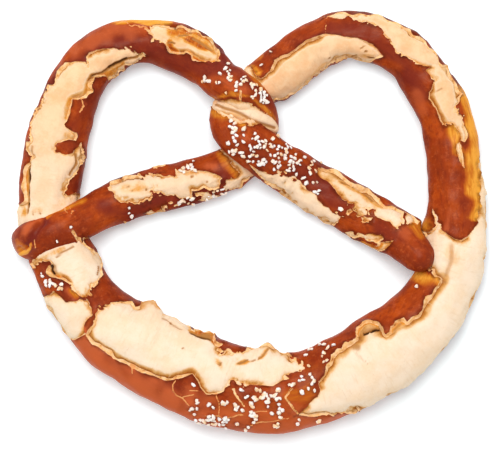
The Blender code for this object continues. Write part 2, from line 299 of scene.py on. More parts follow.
# Narrow cracks in the crust: the stretch, half the width, and the line.
CRACKS = [
    ((27, 31), 0.21, [(-26.5, -56.5), (-27.5, -58), (-27.5, -60), (-26, -61.5), (-21.5, -65)]),
    ((27, 31), 0.19, [(-21.5, -60), (-18.5, -60)]),
    ((27, 31), 0.19, [(-24, -62.5), (-20, -61.5)]),
    ((29, 32), 0.22, [(-12, -62), (-11, -64.5), (-11, -69)]),
    ((28, 33), 0.19, [(-16, -69), (-6, -69), (-2.5, -68.5)]),
    ((30, 33), 0.36, [(-6, -59.5), (-5, -61.5), (-2, -65.5)]),
    ((31, 34), 0.32, [(15, -59.5), (13.5, -61), (12.5, -62.5), (14.5, -65), (17, -68)]),
    ((30, 33), 0.19, [(6, -67.5), (1, -67.5)]),
    ((30, 34), 0.24, [(0, -72.5), (7, -71), (14, -70)]),
    ((10, 12.5), 0.40, [(-3.2, 46.5), (-3.5, 43)]),
    ((46, 48.5), 0.12, [(27.5, 74), (27, 68)]),
    ((1.5, 4.0), 0.55, [(-63.6, -3.2), (-62.6, -4.8), (-61.6, -6.2)]),
    ((1.5, 4.0), 0.85, [(-61.4, -6.0), (-61.2, -8)]),
    ((13.5, 16.5), 0.20, [(-46.5, 71.9), (-41, 70.7), (-37.5, 69.6)]),
    ((13.5, 15.5), 0.50, [(-37.3, 69.1), (-36, 68.4)]),
    ((0, 2), 0.20, [(-77, -6.5), (-76.5, -9)]),
    ((2, 4), 0.20, [(-66, 4.5), (-65, 2)]),
    ((2, 4), 0.15, [(-64.5, 5), (-63.5, 2.5)]),
    ((27, 29), 0.22, [(-42, -51), (-42, -54)]),
    ((5, 8), 0.34, [(-27.6, 6.4), (-25.6, 7.0), (-24.2, 7.5)]),
    ((4.5, 7), 0.30, [(-29.0, 7.0), (-28.2, 7.6)]),
    ((3, 5), 0.30, [(-45.6, 0.6), (-42.6, 1.1)]),
    ((4, 6.5), 0.34, [(-35.2, 19.4), (-32.5, 19.8), (-30.8, 20.0)]),
    ((18, 20.5), 0.20, [(-60.2, 43.5), (-60, 41.5), (-61, 39.5)]),
]

THIN_CRACK = 0.3

# Places where the torn edge is broad: the stretch, how much broader, how far round, and the line.
BROAD_EDGES = [
    ((25, 31), 0.40, 3.0, [(-58, -41), (-54, -45), (-48, -49), (-40, -53), (-30, -56.5), (-21, -54.5)]),
    ((32, 39), 0.50, 4.0, [(28, -51), (35, -44), (40, -41), (46, -38), (51, -37), (56, -35), (62, -31),
                           (63, -27), (68, -21)]),
    ((22, 27), 0.35, 2.5, [(-73, -17), (-71, -19.5), (-66, -21)]),
    ((15, 24), 0.30, 2.5, [(-81, 20), (-81.5, 8)]),
    ((16, 21), 0.35, 2.5, [(-64, 39), (-63.5, 43.5), (-58, 46), (-56, 51.5)]),
    ((41, 45), 0.05, 2.5, [(64, 47), (64.5, 43), (68, 37)]),
    ((45, 51), 0.25, 2.5, [(8, 55), (12, 59.5), (18, 64), (24, 66)]),
    ((56, 61), 0.30, 2.5, [(30, 18), (38, 13), (46, 8)]),
    ((11, 16), 0.20, 2.5, [(-29, 61), (-24, 60), (-18, 58)]),
]

# Places where the torn edge runs smoother: the stretch, the middle, and how far round.
CALM = [
    ((23, 28), (-57, -35), 5.0),
    ((29, 31.5), (-11, -44), 3.0),
    ((32, 36), (21, -67), 5.0),
    ((40, 44), (75.5, 28), 7.0),
    ((48, 51.6), (1, 54), 5.0),
    ((20, 23), (-65, 27), 4.0),
]

# Folds and pits pressed into the skin: the stretch, half the width, the depth, how dark the painted shade in it is,
# the line.
FOLDS = [
    ((13, 18), 0.7, 0.5, 0.9, [(-56.5, 52.3), (-53, 53.6), (-50, 55.8)]),
    ((13, 18), 0.7, 0.6, 1.2, [(-50.5, 55.4), (-48.5, 57), (-44.5, 58.9)]),
    ((13, 18), 0.5, 0.4, 0.8, [(-44.5, 58.9), (-40, 59.8)]),
    ((19, 24), 0.8, 0.8, 1.35, [(-79.1, 19), (-79, 14.6)]),
    ((19, 24), 0.7, 0.6, 1.30, [(-79.2, 11), (-79.3, 9.6)]),
    ((19, 24), 0.7, 0.6, 1.30, [(-79.4, 6.6), (-79.4, 6.1)]),
    ((19, 24), 0.5, 0.4, 0.95, [(-79.5, 4.2)]),
    ((20, 24), 0.5, 0.4, 0.80, [(-77.4, 3.0)]),
    ((20, 24), 0.5, 0.4, 0.80, [(-74.9, 3.2)]),
    ((19, 24), 0.6, 0.5, 0.55, [(-78.8, 21), (-79, 15), (-79.2, 8), (-79.5, 3)]),
    ((18, 22), 0.5, 0.3, 0.5, [(-77.5, 27), (-78, 25), (-77.3, 23)]),
    ((14, 17), 0.35, 0.2, 0.5, [(-66.5, 55.3), (-63.5, 57.0)]),
    ((15, 18), 0.35, 0.2, 0.5, [(-69.5, 50.5), (-67.6, 54)]),
    ((20, 23), 0.5, 0.4, 0.8, [(-62.5, 24.5), (-62.8, 21), (-65, 17)]),
    ((22, 26), 0.8, 0.8, 1.35, [(-71.2, -15.9), (-71.0, -17.4), (-70.3, -18.6)]),
    ((22, 26), 1.3, 0.3, 0.45, [(-70.2, -16), (-69.5, -18)]),
    ((22, 26), 0.5, 0.4, 0.6, [(-69, -12.5), (-66, -10.5), (-63.5, -9)]),
    ((22, 26), 0.4, 0.3, 0.7, [(-54.5, -16), (-54.8, -19)]),
    ((29, 34), 0.38, 0.3, 0.55, [(0.2, -50.4), (1.9, -49.9)]),
    ((29, 34), 0.38, 0.3, 0.60, [(2.8, -49.7), (4.6, -48.9), (6.2, -47.8)]),
    ((27, 30), 0.55, 0.5, 1.0, [(-21.5, -40.3), (-19.5, -40.8), (-17, -42), (-14.6, -43)]),
    ((27, 30), 1.1, 0.4, 0.6, [(-17.3, -41.2), (-15.2, -41.8)]),
    ((29, 31), 0.7, 0.5, 0.8, [(-10.8, -51)]),
    ((29, 32), 0.40, 0.4, 0.8, [(-4.5, -51), (-2.6, -50.6), (-1.2, -50)]),
    ((28, 30), 0.5, 0.3, 0.7, [(-24, -45.5)]),
    ((27, 30), 0.35, 0.3, 0.5, [(-31.5, -35.2), (-28.5, -37), (-25, -39.2)]),
    ((27, 30), 0.5, 0.3, 0.9, [(-28.6, -37)]),
    ((34, 37), 0.65, 0.9, 1.45, [(40.7, -40.3), (42.0, -39.8)]),
    ((34, 37), 0.45, 0.6, 1.10, [(42.1, -39.3), (42.9, -38.9)]),
    ((34, 37), 0.70, 0.9, 1.45, [(43.4, -39.1), (44.4, -38.4), (45.6, -38.0)]),
    ((34, 37), 1.30, 0.5, 0.50, [(41.0, -39.6), (43.4, -38.6), (46.2, -38.0)]),
    ((34, 36), 0.6, 0.3, 0.60, [(38.5, -42.1), (40, -42.3)]),
    ((33, 36), 1.5, 0.3, 0.50, [(36.5, -44.3), (38.5, -45)]),
    ((34, 36), 0.6, 0.1, 0.25, [(38, -47), (40.5, -49.5)]),
    ((34, 36), 0.4, 0.2, 0.5, [(41, -49.8)]),
    ((34, 36), 0.4, 0.2, 0.5, [(42, -50.4)]),
    ((34, 37), 0.7, 0.2, 0.45, [(51.4, -38.4), (52.6, -37.2), (53.6, -36.2)]),
    ((36, 41), 0.9, 0.8, 0.35, [(72.0, -8.5), (72, -14), (70, -19)]),
    ((56, 61), 0.7, 0.5, 0.6, [(33, 14), (37, 13), (41, 10.5), (44, 7.5)]),
    ((4, 7), 0.5, 0.6, 0.9, [(-46, 14.4), (-44, 15.2), (-40.5, 15.6), (-38.6, 15.2)]),
    ((4, 7), 0.5, 0.4, 0.8, [(-43.7, 12.2)]),
    ((4, 7), 0.4, 0.3, 0.7, [(-42, 11.0)]),
    ((4, 7), 0.5, 0.4, 0.8, [(-37.3, 11.5)]),
    ((5, 7), 0.7, 0.4, 0.7, [(-20.8, 16.2)]),
    ((5, 8), 0.5, 0.4, 0.7, [(-15.3, 14.4)]),
    ((11, 16), 0.45, 0.35, 0.80, [(-28.5, 70.3), (-24.5, 69.9)]),
    ((11, 16), 0.40, 0.30, 0.70, [(-21.2, 69.9), (-21.0, 68.3), (-22.3, 66.8), (-25.5, 66.4)]),
    ((11, 16), 0.60, 0.50, 0.65, [(-20.5, 65.3), (-17.5, 63.6), (-13.8, 61.0)]),
    ((11, 16), 0.40, 0.30, 0.90, [(-29.3, 64.1), (-28, 64.3), (-27.2, 63.9)]),
    ((11, 16), 0.35, 0.20, 0.50, [(-26.6, 70.6), (-26.3, 68.6)]),
    ((11, 16), 0.35, 0.20, 0.60, [(-16.2, 67.3), (-13.6, 64.2), (-11.8, 61.8)]),
    ((11, 16), 0.35, 0.15, 0.45, [(-21, 61.0)]),
    ((11, 16), 0.35, 0.15, 0.50, [(-18.2, 60.3)]),
    ((44, 47), 0.4, 0.35, 0.9, [(61.5, 55.3), (65, 55.6)]),
    ((43, 45), 0.4, 0.3, 0.9, [(63.5, 51.5), (66, 50.3)]),
    ((42, 44), 0.9, 0.6, 0.9, [(72.8, 54)]),
    ((44.5, 47.5), 0.50, 0.3, 1.0, [(41.7, 61.5)]),
    ((44.5, 47.5), 0.40, 0.3, 0.9, [(42.4, 59.4), (44.4, 58.9)]),
    ((45, 47.5), 0.35, 0.2, 0.8, [(36.6, 59.5), (38.4, 60.0)]),
    ((45, 47.5), 0.35, 0.2, 0.6, [(39.9, 62.6), (41.0, 63.2)]),
    ((46, 48.5), 0.45, 0.3, 1.0, [(28.2, 59.3)]),
    ((47, 49.5), 0.40, 0.3, 0.6, [(13.6, 47.2), (12.4, 48.0)]),
    ((43, 45.5), 0.40, 0.3, 0.5, [(48.6, 65.4), (51.0, 67.0)]),
    ((42, 44), 0.35, 0.3, 0.5, [(65.5, 46.4), (68.5, 47.6)]),
    ((0, 2.2), 1.3, 1.0, 0.9, [(-74.2, -0.4), (-76, -3), (-77.9, -6.2), (-79.6, -9.0)]),
    ((0, 1.5), 0.9, 0.6, 0.9, [(-82.6, -9.3), (-81.4, -10.4), (-80, -9.6)]),
    ((0, 1.5), 0.6, -0.25, 0.0, [(-82.6, -11.6), (-80, -11.2), (-78.8, -9.8), (-78.4, -8.2)]),
]

# Swellings, where the dough pushed out: the stretch, the middle, how wide, how high.
BUMPS = [
    ((29, 34), (6.3, -45.4), 3.3, 3.6),
    ((27, 30), (-35.5, -30.0), 2.4, 1.8),
    ((28, 31), (-14.5, -41.0), 2.2, 1.6),
    ((36, 41), (67.0, -12.0), 4.0, 0.6),
    ((37, 42), (63.0, -2.2), 3.0, 1.2),
    ((59.5, 62.5), (60.3, 0.0), 2.5, 0.9),
    ((4, 7), (-38.5, 16.5), 2.0, 0.5),
    ((0, 2.2), (-79.5, -3), 3.0, 0.8),
    ((39.5, 43), (81, 22), 5.0, 0.5),
    ((10.5, 12.5), (-3.0, 55.8), 2.4, 0.9),
]

# Crust that turns back in along the silhouette: the stretch, the side (1 inner, -1 outer), and how
# far past the widest level the crumb reaches there.
RIMS = [
    ((41.5, 44.6), -1, -1.35),
    ((44.6, 48.5), -1, -1.05),
    ((34.0, 40.2), -1, 0.9),
    ((11.0, 13.7), -1, -0.9),
    ((13.7, 15.3), -1, -0.9),
    ((17.0, 20.5), -1, -0.1),
    ((23.8, 27.0), -1, 0.6),
    ((27.8, 32.5), 1, 0.8),
    ((45.5, 50.0), 1, 0.3),
    ((3.0, 5.2), 1, -0.6),
    ((56.0, 61.8), 1, -0.1),
]
RIM_UNEVEN = 0.3

# How the torn edge looks: the slope's width in plan, how deep the crumb lies under the crust, how
# far from the edge the crumb has swelled back up and by how much, and how far the crust's lip
# stands up. All in millimetres.
SLOPE = 0.30
DEPTH = 0.85
SWELLED_BY = 4.5
SWELLING = 1.0
LIP = 0.30
# The outlines are ragged: wavelength and reach of each ripple, in millimetres.
RAGGED = [(7.0, 0.25), (2.6, 0.28), (1.1, 0.15)]
# Faces this near to a torn edge or a fold are halved, then those at the edges once more, except low
# on the sides.
REFINED = [("detail", 0.80), ("edge", 0.18)]
LOW = 7.0
SNAP = 0.04
FAR = 99.0


def clear_scene():
    """Removes whatever objects the file holds."""
    for old in list(bpy.data.objects):
        bpy.data.objects.remove(old, do_unlink=True)


clear_scene()
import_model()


# ---------------------------------------------------------------- the rope's skin


def ripple(points, wavelength, seed):
    """Smooth unevenness of about one unit over points (n, 2 or 3), with this wavelength."""
    rng = np.random.default_rng(seed)
    total = np.zeros(len(points))
    waves = 14
    for _ in range(waves):
        way = rng.normal(size=points.shape[1])
        way *= 2 * math.pi / (wavelength * np.linalg.norm(way) * rng.uniform(0.75, 1.35))
        total += np.sin(points @ way + rng.uniform(0, 2 * math.pi))
    return total / math.sqrt(waves / 2)


def route_at(places):
    """The route's rows at fractional places, on a Catmull-Rom curve through the rows."""
    places = np.asarray(places, float)
    row = np.clip(places.astype(int), 0, len(ROUTE) - 2)
    part = (places - row)[:, None]
    a = ROUTE[np.maximum(row - 1, 0)]
    b = ROUTE[row]
    c = ROUTE[row + 1]
    d = ROUTE[np.minimum(row + 2, len(ROUTE) - 1)]
    return 0.5 * (2 * b + (c - a) * part + (2 * a - 5 * b + 4 * c - d) * part ** 2
                  + (3 * b - a - 3 * c + d) * part ** 3)


def even_places():
    """Places along the route one step apart, closer at the tips, and how far along each one is."""
    fine = np.linspace(0, len(ROUTE) - 1, len(ROUTE) * 30)
    middle = route_at(fine)[:, :2]
    run = np.concatenate([[0], np.cumsum(np.linalg.norm(np.diff(middle, axis=0), axis=1))])
    tip = TIP_LENGTH * (1 - np.cos(np.linspace(0, math.pi / 2, 12)))
    rings = round((run[-1] - 2 * TIP_LENGTH) / STEP)
    between = np.linspace(TIP_LENGTH, run[-1] - TIP_LENGTH, rings + 1)[1:-1]
    along = np.concatenate([tip, between, run[-1] - tip[::-1]])
    return np.interp(along, run, fine), along, run[-1]


def skin_points():
    """Where each point of the rolled sheet lies, its place laid flat in plan, and its row."""
    places, along, length = even_places()
    rows = route_at(places)
    ahead = route_at(np.minimum(places + 0.05, len(ROUTE) - 1))[:, :2]
    back = route_at(np.maximum(places - 0.05, 0))[:, :2]
    forward = (ahead - back) / np.linalg.norm(ahead - back, axis=1, keepdims=True)
    left = np.stack([-forward[:, 1], forward[:, 0]], axis=1)
    width, height, lift = rows[:, 2], rows[:, 3], rows[:, 4]
    near_end = np.minimum(along, length - along) / TIP_LENGTH
    narrow = np.sqrt(np.clip(1 - (1 - np.minimum(near_end, 1)) ** 2, 0, 1))
    touch = np.clip(-(WIDEST_AT * height + lift) / (WIDEST_AT * height * SUNK_BY), -1, 1)
    steepest = np.minimum(np.arccos(touch), STEEPEST)
    round_count = ROUND_POINTS - FLAT_POINTS
    spread = np.linspace(-1, 1, round_count)
    spread *= 1 - FINER_ON_TOP + FINER_ON_TOP * np.abs(spread)
    turn = spread[None, :] * steepest[:, None]
    over = np.cos(turn) > 0
    across = np.sin(turn) * width[:, None] / 2
    level = np.cos(turn) * height[:, None] * np.where(over, 1 - WIDEST_AT, WIDEST_AT * SUNK_BY)
    share = np.linspace(0, 1, FLAT_POINTS + 2)[None, 1:]
    under_across = across[:, -1:] + (across[:, :1] - across[:, -1:]) * share
    under_level = np.repeat(level[:, :1], FLAT_POINTS + 1, axis=1)
    across = np.concatenate([across, under_across], axis=1) * narrow[:, None]
    level = np.concatenate([level, under_level], axis=1) * narrow[:, None]
    up = np.maximum(WIDEST_AT * height[:, None] + level + lift[:, None], 0)
    points = np.empty(across.shape + (3,))
    points[..., :2] = rows[:, None, :2] + left[:, None, :] * across[..., None]
    points[..., 2] = up
    flat = laid_flat(across, up, round_count)
    plan = rows[:, None, :2] + left[:, None, :] * flat[..., None]
    layers = {
        "plan_x": plan[..., 0],
        "plan_y": plan[..., 1],
        "place": np.repeat(places[:, None], across.shape[1], axis=1),
        "along": np.repeat(along[:, None], across.shape[1], axis=1),
        "flat": flat,
        "half": np.repeat((width * narrow / 2)[:, None], across.shape[1], axis=1),
        "under": np.zeros(across.shape),
    }
    layers["under"][:, round_count - 1:] = 1.0
    layers["under"][:, 0] = 1.0
    return points, layers


def laid_flat(across, up, round_count):
    """How far across the skin lies, with what is below the widest level folded out flat."""
    gone = np.hypot(np.diff(across, axis=1), np.diff(up, axis=1))
    flat = across.copy()
    middle = round_count // 2
    for column in range(middle, round_count):
        step = np.maximum(across[:, column] - across[:, column - 1], 0)
        below = across[:, column] < across[:, column - 1]
        step = np.where(below, gone[:, column - 1], step)
        flat[:, column] = flat[:, column - 1] + step
    for column in range(middle - 2, -1, -1):
        step = np.maximum(across[:, column + 1] - across[:, column], 0)
        below = across[:, column] > across[:, column + 1]
        step = np.where(below, gone[:, column], step)
        flat[:, column] = flat[:, column + 1] - step
    return flat


def rolled_skin():
    """The rope's skin as a mesh: a flat sheet rolled round the route and closed along its seam."""
    points, layers = skin_points()
    rings, columns = points.shape[:2]
    sheet = bmesh.new()
    bmesh.ops.create_grid(sheet, x_segments=columns - 1, y_segments=rings - 1, size=1.0)
    data = bpy.data.meshes.new("skin")
    sheet.to_mesh(data)
    sheet.free()
    data.vertices.foreach_set("co", (points * MM).astype(np.float32).ravel())
    for name, values in layers.items():
        data.attributes.new(name, "FLOAT", "POINT").data.foreach_set(
            "value", values.astype(np.float32).ravel())
    rolled = bmesh.new()
    rolled.from_mesh(data)
    bpy.data.meshes.remove(data)
    rolled.verts.ensure_lookup_table()
    seam = [rolled.verts[ring * columns + column]
            for ring in range(rings) for column in (0, columns - 1)]
    tips = [rolled.verts[ring * columns + column]
            for ring in (0, rings - 1) for column in range(columns)]
    bmesh.ops.remove_doubles(rolled, verts=list(set(seam + tips)), dist=1e-6)
    bmesh.ops.recalc_face_normals(rolled, faces=rolled.faces)
    return rolled


def layer(mesh, name):
    """A float layer on the mesh's points, made if it isn't there."""
    return mesh.verts.layers.float.get(name) or mesh.verts.layers.float.new(name)


def values(mesh, name):
    """One value for each point."""
    key = layer(mesh, name)
    return np.array([vert[key] for vert in mesh.verts])


def set_values(mesh, name, numbers):
    """Writes one value for each point."""
    key = layer(mesh, name)
    for vert, number in zip(mesh.verts, numbers):
        vert[key] = float(number)


# ---------------------------------------------------------------- where the crust burst


def outline_gap(x, y, outline):
    """How far points are outside an outline, in millimetres; inside it the number is negative."""
    corners = np.array(outline, float)
    nearest = np.full(len(x), FAR)
    inside = np.zeros(len(x), bool)
    for (ax, ay), (bx, by) in zip(corners, np.roll(corners, -1, axis=0)):
        dx, dy = bx - ax, by - ay
        part = np.clip(((x - ax) * dx + (y - ay) * dy) / (dx * dx + dy * dy), 0, 1)
        nearest = np.minimum(nearest, np.hypot(x - ax - part * dx, y - ay - part * dy))
        spans = (ay > y) != (by > y)
        crossing = ax + (y - ay) / (dy if dy else 1e-9) * dx
        inside ^= spans & (x < crossing)
    return np.where(inside, -nearest, nearest)


def line_distance(x, y, line):
    """How far points are from a line through these corners, or from one point."""
    corners = np.array(line, float)
    nearest = np.hypot(x - corners[0][0], y - corners[0][1])
    for (ax, ay), (bx, by) in zip(corners, corners[1:]):
        dx, dy = bx - ax, by - ay
        part = np.clip(((x - ax) * dx + (y - ay) * dy) / (dx * dx + dy * dy), 0, 1)
        nearest = np.minimum(nearest, np.hypot(x - ax - part * dx, y - ay - part * dy))
    return nearest


def broad_edge(x, y, place):
    """How much each point is where the torn edge is broad, and how much broader the edge is there."""
    at = np.stack([x, y], axis=1)
    share, width = np.zeros(len(x)), np.zeros(len(x))
    for (first, last), broader, reach, line in BROAD_EDGES:
        near = (place >= first) & (place <= last)
        here = smooth_step(1.5 - line_distance(x[near], y[near], line) / reach)
        share[near] = np.maximum(share[near], here)
        width[near] = np.maximum(width[near], broader * here * (1 + 0.4 * ripple(at[near], 5.0, 41)))
    return share, width


def crust_gap(mesh):
    """How far each point is from the nearest torn edge: positive on crust, negative on crumb."""
    x, y, place = values(mesh, "plan_x"), values(mesh, "plan_y"), values(mesh, "place")
    at = np.stack([x, y], axis=1)
    shifted_x, shifted_y = x.copy(), y.copy()
    torn = np.clip(0.75 + 0.6 * ripple(at, 22.0, 9), 0.15, 1.7)
    torn *= 1 - 0.7 * broad_edge(x, y, place)[0]
    for (first, last), (calm_x, calm_y), reach in CALM:
        near = (place >= first) & (place <= last)
        away = np.hypot(x[near] - calm_x, y[near] - calm_y)
        torn[near] *= 1 - 0.75 * smooth_step(2 - 1.4 * away / reach)
    for seed, (wavelength, reach) in enumerate(RAGGED):
        shifted_x += reach * torn * ripple(at, wavelength, 10 + seed)
        shifted_y += reach * torn * ripple(at, wavelength, 20 + seed)
    gap = np.full(len(x), FAR)
    for (first, last), outline in TEARS.values():
        near = (place >= first) & (place <= last)
        gap[near] = np.minimum(gap[near], outline_gap(shifted_x[near], shifted_y[near], outline))
    for (first, last), outline in ISLANDS.values():
        near = (place >= first) & (place <= last)
        gap[near] = np.maximum(gap[near], -outline_gap(shifted_x[near], shifted_y[near], outline))
    # The crust is painted darker near the torn edges; later the painted shadow round each grain of salt is added to
    # the same value.
    set_values(mesh, "edge_dark_and_grain_shadow", smooth_step(1.25 - 0.9 * gap))
    crack = np.zeros(len(x))
    crack_x, crack_y = x + 0.5 * (shifted_x - x), y + 0.5 * (shifted_y - y)
    for (first, last), half_width, line in CRACKS:
        near = (place >= first) & (place <= last)
        reach = line_distance(crack_x[near], crack_y[near], line) - half_width
        gap[near] = np.minimum(gap[near], reach)
        if half_width < THIN_CRACK:
            crack[near] = np.maximum(crack[near], smooth_step(2 - reach / 0.5))
    set_values(mesh, "crack", crack)
    flat, half = values(mesh, "flat"), values(mesh, "half")
    for (first, last), side, below in RIMS:
        near = (place >= first) & (place <= last)
        rim = flat[near] * side - half[near] - below + RIM_UNEVEN * ripple(at[near], 5.0, 31)
        gap[near] = np.maximum(gap[near], rim)
    return gap


def fold_gap(mesh):
    """How far each point is outside the nearest fold or pit."""
    x, y, place = values(mesh, "plan_x"), values(mesh, "plan_y"), values(mesh, "place")
    gap = np.full(len(x), FAR)
    for (first, last), half_width, _, _, line in FOLDS:
        near = (place >= first) & (place <= last)
        gap[near] = np.minimum(gap[near], line_distance(x[near], y[near], line) - half_width)
    return gap


def write_gaps(mesh):
    """Writes to each point how far it is from a torn edge, and from the foot of its slope."""
    x, y, place = values(mesh, "plan_x"), values(mesh, "plan_y"), values(mesh, "place")
    gap = crust_gap(mesh)
    at = np.stack([x, y], axis=1)
    slope = SLOPE * (1 + 0.6 * ripple(at, 7.0, 40))
    deep = np.clip(0.40 + 0.55 * ripple(at, 11.0, 42), 0.10, 1)
    broad, broader = broad_edge(x, y, place)
    slope += broader
    deep = np.maximum(deep, broad)
    # Where the edge is broad, the crumb's band of baked colour and painted shade reaches further.
    set_values(mesh, "broad_toast_and_shade", broad)
    set_values(mesh, "gap", gap)
    set_values(mesh, "foot", gap + np.clip(slope, 0.15, 1.8))
    set_values(mesh, "deep", deep)
    detail = np.minimum(np.abs(gap), np.abs(fold_gap(mesh)))
    low = np.array([vert.co.z for vert in mesh.verts]) < LOW * MM
    set_values(mesh, "detail", detail)
    set_values(mesh, "edge", np.where(low, FAR, gap))


def refine(mesh, name, within):
    """Halves the edges of the faces that come this near to a line where the value changes sign."""
    key = layer(mesh, name)
    near = [face for face in mesh.faces if min(abs(vert[key]) for vert in face.verts) < within]
    edges = {edge for face in near for edge in face.edges}
    bmesh.ops.subdivide_edges(mesh, edges=list(edges), cuts=1, use_grid_fill=True)


def cut_along(mesh, name):
    """Cuts the faces along the line where the value changes sign, so that an edge follows it."""
    key = layer(mesh, name)
    for vert in mesh.verts:
        if abs(vert[key]) < SNAP:
            vert[key] = 0.0
    crossed = [edge for edge in mesh.edges if edge.verts[0][key] * edge.verts[1][key] < 0]
    for edge in crossed:
        start, end = edge.verts
        part = start[key] / (start[key] - end[key])
        new = bmesh.utils.edge_split(edge, start, part)[1]
        new[key] = 0.0
    on_line = [vert for vert in mesh.verts if vert[key] == 0.0]
    bmesh.ops.connect_verts(mesh, verts=on_line)


def smooth_step(numbers):
    """0 below 0, 1 above 1, and a smooth rise between."""
    held = np.clip(numbers, 0, 1)
    return held * held * (3 - 2 * held)


def shape_skin(mesh):
    """Moves each point out or in: crust, torn slope, sunken and swollen crumb."""
    points = np.array([vert.co[:] for vert in mesh.verts]) / MM
    mesh.normal_update()
    outward = np.array([vert.normal[:] for vert in mesh.verts])
    gap, foot = values(mesh, "gap"), values(mesh, "foot")
    under = values(mesh, "under")
    lumps = 0.22 * ripple(points, 16.0, 1) + 0.10 * ripple(points, 6.0, 2)
    curl = LIP * np.exp(-np.maximum(gap, 0) / 0.8) * np.clip(1 + 0.8 * ripple(points, 5.0, 3), 0, 3)
    slope_part = np.clip(-gap / np.maximum(foot - gap, 0.05), 0, 1)
    inside = np.maximum(-foot, 0)
    swollen = 1 - (1 - np.clip(inside / SWELLED_BY, 0, 1)) ** 2.5
    crumb_relief = 0.10 * ripple(points, 3.2, 4) + 0.05 * ripple(points, 1.5, 5)
    crust_rise = lumps + curl
    depth = DEPTH * values(mesh, "deep")
    crumb_rise = lumps - depth + (depth + SWELLING) * swollen + crumb_relief * smooth_step(inside)
    rise = crust_rise + (crumb_rise - crust_rise) * slope_part
    x, y, place = values(mesh, "plan_x"), values(mesh, "plan_y"), values(mesh, "place")
    for (first, last), (bump_x, bump_y), wide, high in BUMPS:
        near = (place >= first) & (place <= last)
        away = np.hypot(x[near] - bump_x, y[near] - bump_y) / wide
        rise[near] += high * np.exp(-away ** 2)
    shade = np.zeros(len(rise))
    for (first, last), half_width, depth, dark, line in FOLDS:
        near = (place >= first) & (place <= last)
        share = smooth_step(1.3 - line_distance(x[near], y[near], line) / half_width)
        rise[near] -= depth * share
        shade[near] = np.maximum(shade[near], dark * share)
    rise *= smooth_step(points[:, 2] / 1.5)
    rise[under > 0.5] = 0
    moved = points + outward * rise[:, None]
    moved[:, 2] = np.maximum(moved[:, 2], 0)
    for vert, place in zip(mesh.verts, moved * MM):
        vert.co = place
    set_values(mesh, "inside", inside)
    set_values(mesh, "shade", shade)


def paint_faces(mesh):
    """Gives each face its finish: 0 crust, 1 torn slope, 2 crumb, 3 underside."""
    gap, foot = layer(mesh, "gap"), layer(mesh, "foot")
    under = layer(mesh, "under")
    for face in mesh.faces:
        face.smooth = True
        count = len(face.verts)
        if sum(vert[under] for vert in face.verts) / count > 0.9:
            face.material_index = 3
        elif sum(vert[gap] for vert in face.verts) / count > 0:
            face.material_index = 0
        elif sum(vert[foot] for vert in face.verts) / count > 0:
            face.material_index = 1
        else:
            face.material_index = 2
    for edge in mesh.edges:
        kinds = {face.material_index for face in edge.link_faces}
        edge.smooth = len(kinds) < 2 or kinds == {1, 2}


def finished(name, mesh, materials):
    """Turns a bmesh into an object with these materials."""
    data = bpy.data.meshes.new(name)
    mesh.to_mesh(data)
    mesh.free()
    for material in materials:
        data.materials.append(material)
    made = bpy.data.objects.new(name, data)
    bpy.context.scene.collection.objects.link(made)
    return made


# The crumb that swelled up between the two crossings: its ends, how far its line arches, half its
# width, half its height, and how high its middle and its ends are above the table.
KNOT_ENDS = ((-13.6, 41.8), (10.3, 32.8))
KNOT_ARCH = 1.5
KNOT_HALF_WIDTH = 3.7
KNOT_HALF_HEIGHT = 4.5
KNOT_LEVELS = (16.6, 12.5)
KNOT_FOLD = [(-12.2, 42.1), (-9, 40.6), (-5.4, 39.5), (-2.5, 38.1), (0.4, 36.3), (3.3, 35.2),
             (5.5, 34.6), (8.7, 33.7)]
KNOT_FOLD_DEPTH = 0.7


def knot_crumb():
    """The crumb between the crossings: a ball drawn out along an arched line, with one fold in it."""
    ball = bmesh.new()
    bmesh.ops.create_uvsphere(ball, u_segments=48, v_segments=72, radius=1.0)
    turned = Euler((0, math.pi / 2, 0)).to_matrix()
    bmesh.ops.rotate(ball, cent=(0, 0, 0), matrix=turned, verts=ball.verts)
    places = np.array([vert.co[:] for vert in ball.verts])
    start, end = np.array(KNOT_ENDS)
    forward = (end - start) / np.linalg.norm(end - start)
    left = np.array([-forward[1], forward[0]])
    along, across, up = places.T
    arch = KNOT_ARCH * (1 - along ** 2)
    middle = (start + end) / 2 + np.outer(along, (end - start) / 2) + np.outer(arch, left)
    spot = middle + np.outer(across * KNOT_HALF_WIDTH, left)
    level = KNOT_LEVELS[1] + (KNOT_LEVELS[0] - KNOT_LEVELS[1]) * (1 - along ** 2)
    height = level + up * KNOT_HALF_HEIGHT
    away = line_distance(spot[:, 0], spot[:, 1], KNOT_FOLD)
    pressed = smooth_step(1.3 - away / 0.7)
    at = np.column_stack([spot, height])
    height += np.where(up > 0, 0.12 * ripple(at, 3.2, 4) - KNOT_FOLD_DEPTH * pressed, 0)
    for vert, place in zip(ball.verts, np.column_stack([spot, height]) * MM):
        vert.co = place
    below = smooth_step(0.5 - 1.5 * (across + 0.25))
    set_values(ball, "inside", 4.5 * (1 - np.abs(across) ** 3))
    set_values(ball, "deep", np.full(len(along), 0.5))
    set_values(ball, "baked", np.full(len(along), 0.35))
    set_values(ball, "gold", 0.35 * below)
    set_values(ball, "shade", 0.6 * pressed)
    set_values(ball, "along", along * 12)
    set_values(ball, "flat", across * KNOT_HALF_WIDTH)
    for face in ball.faces:
        face.smooth = True
    return ball


# ---------------------------------------------------------------- finishes


def finish_named(name):
    """A new material with its tree and its shader."""
    material = bpy.data.materials.new(name)
    material.use_nodes = True
    tree = material.node_tree
    return material, tree, tree.nodes["Principled BSDF"]


def wire(tree, start, end):
    """Links an output to an input."""
    tree.links.new(end, start)


def place_of(tree):
    """The point's place on the object."""
    return tree.nodes.new("ShaderNodeTexCoord").outputs["Object"]


def painted(tree, name):
    """A value laid on the mesh."""
    node = tree.nodes.new("ShaderNodeAttribute")
    node.attribute_name = name
    return node.outputs["Fac"]


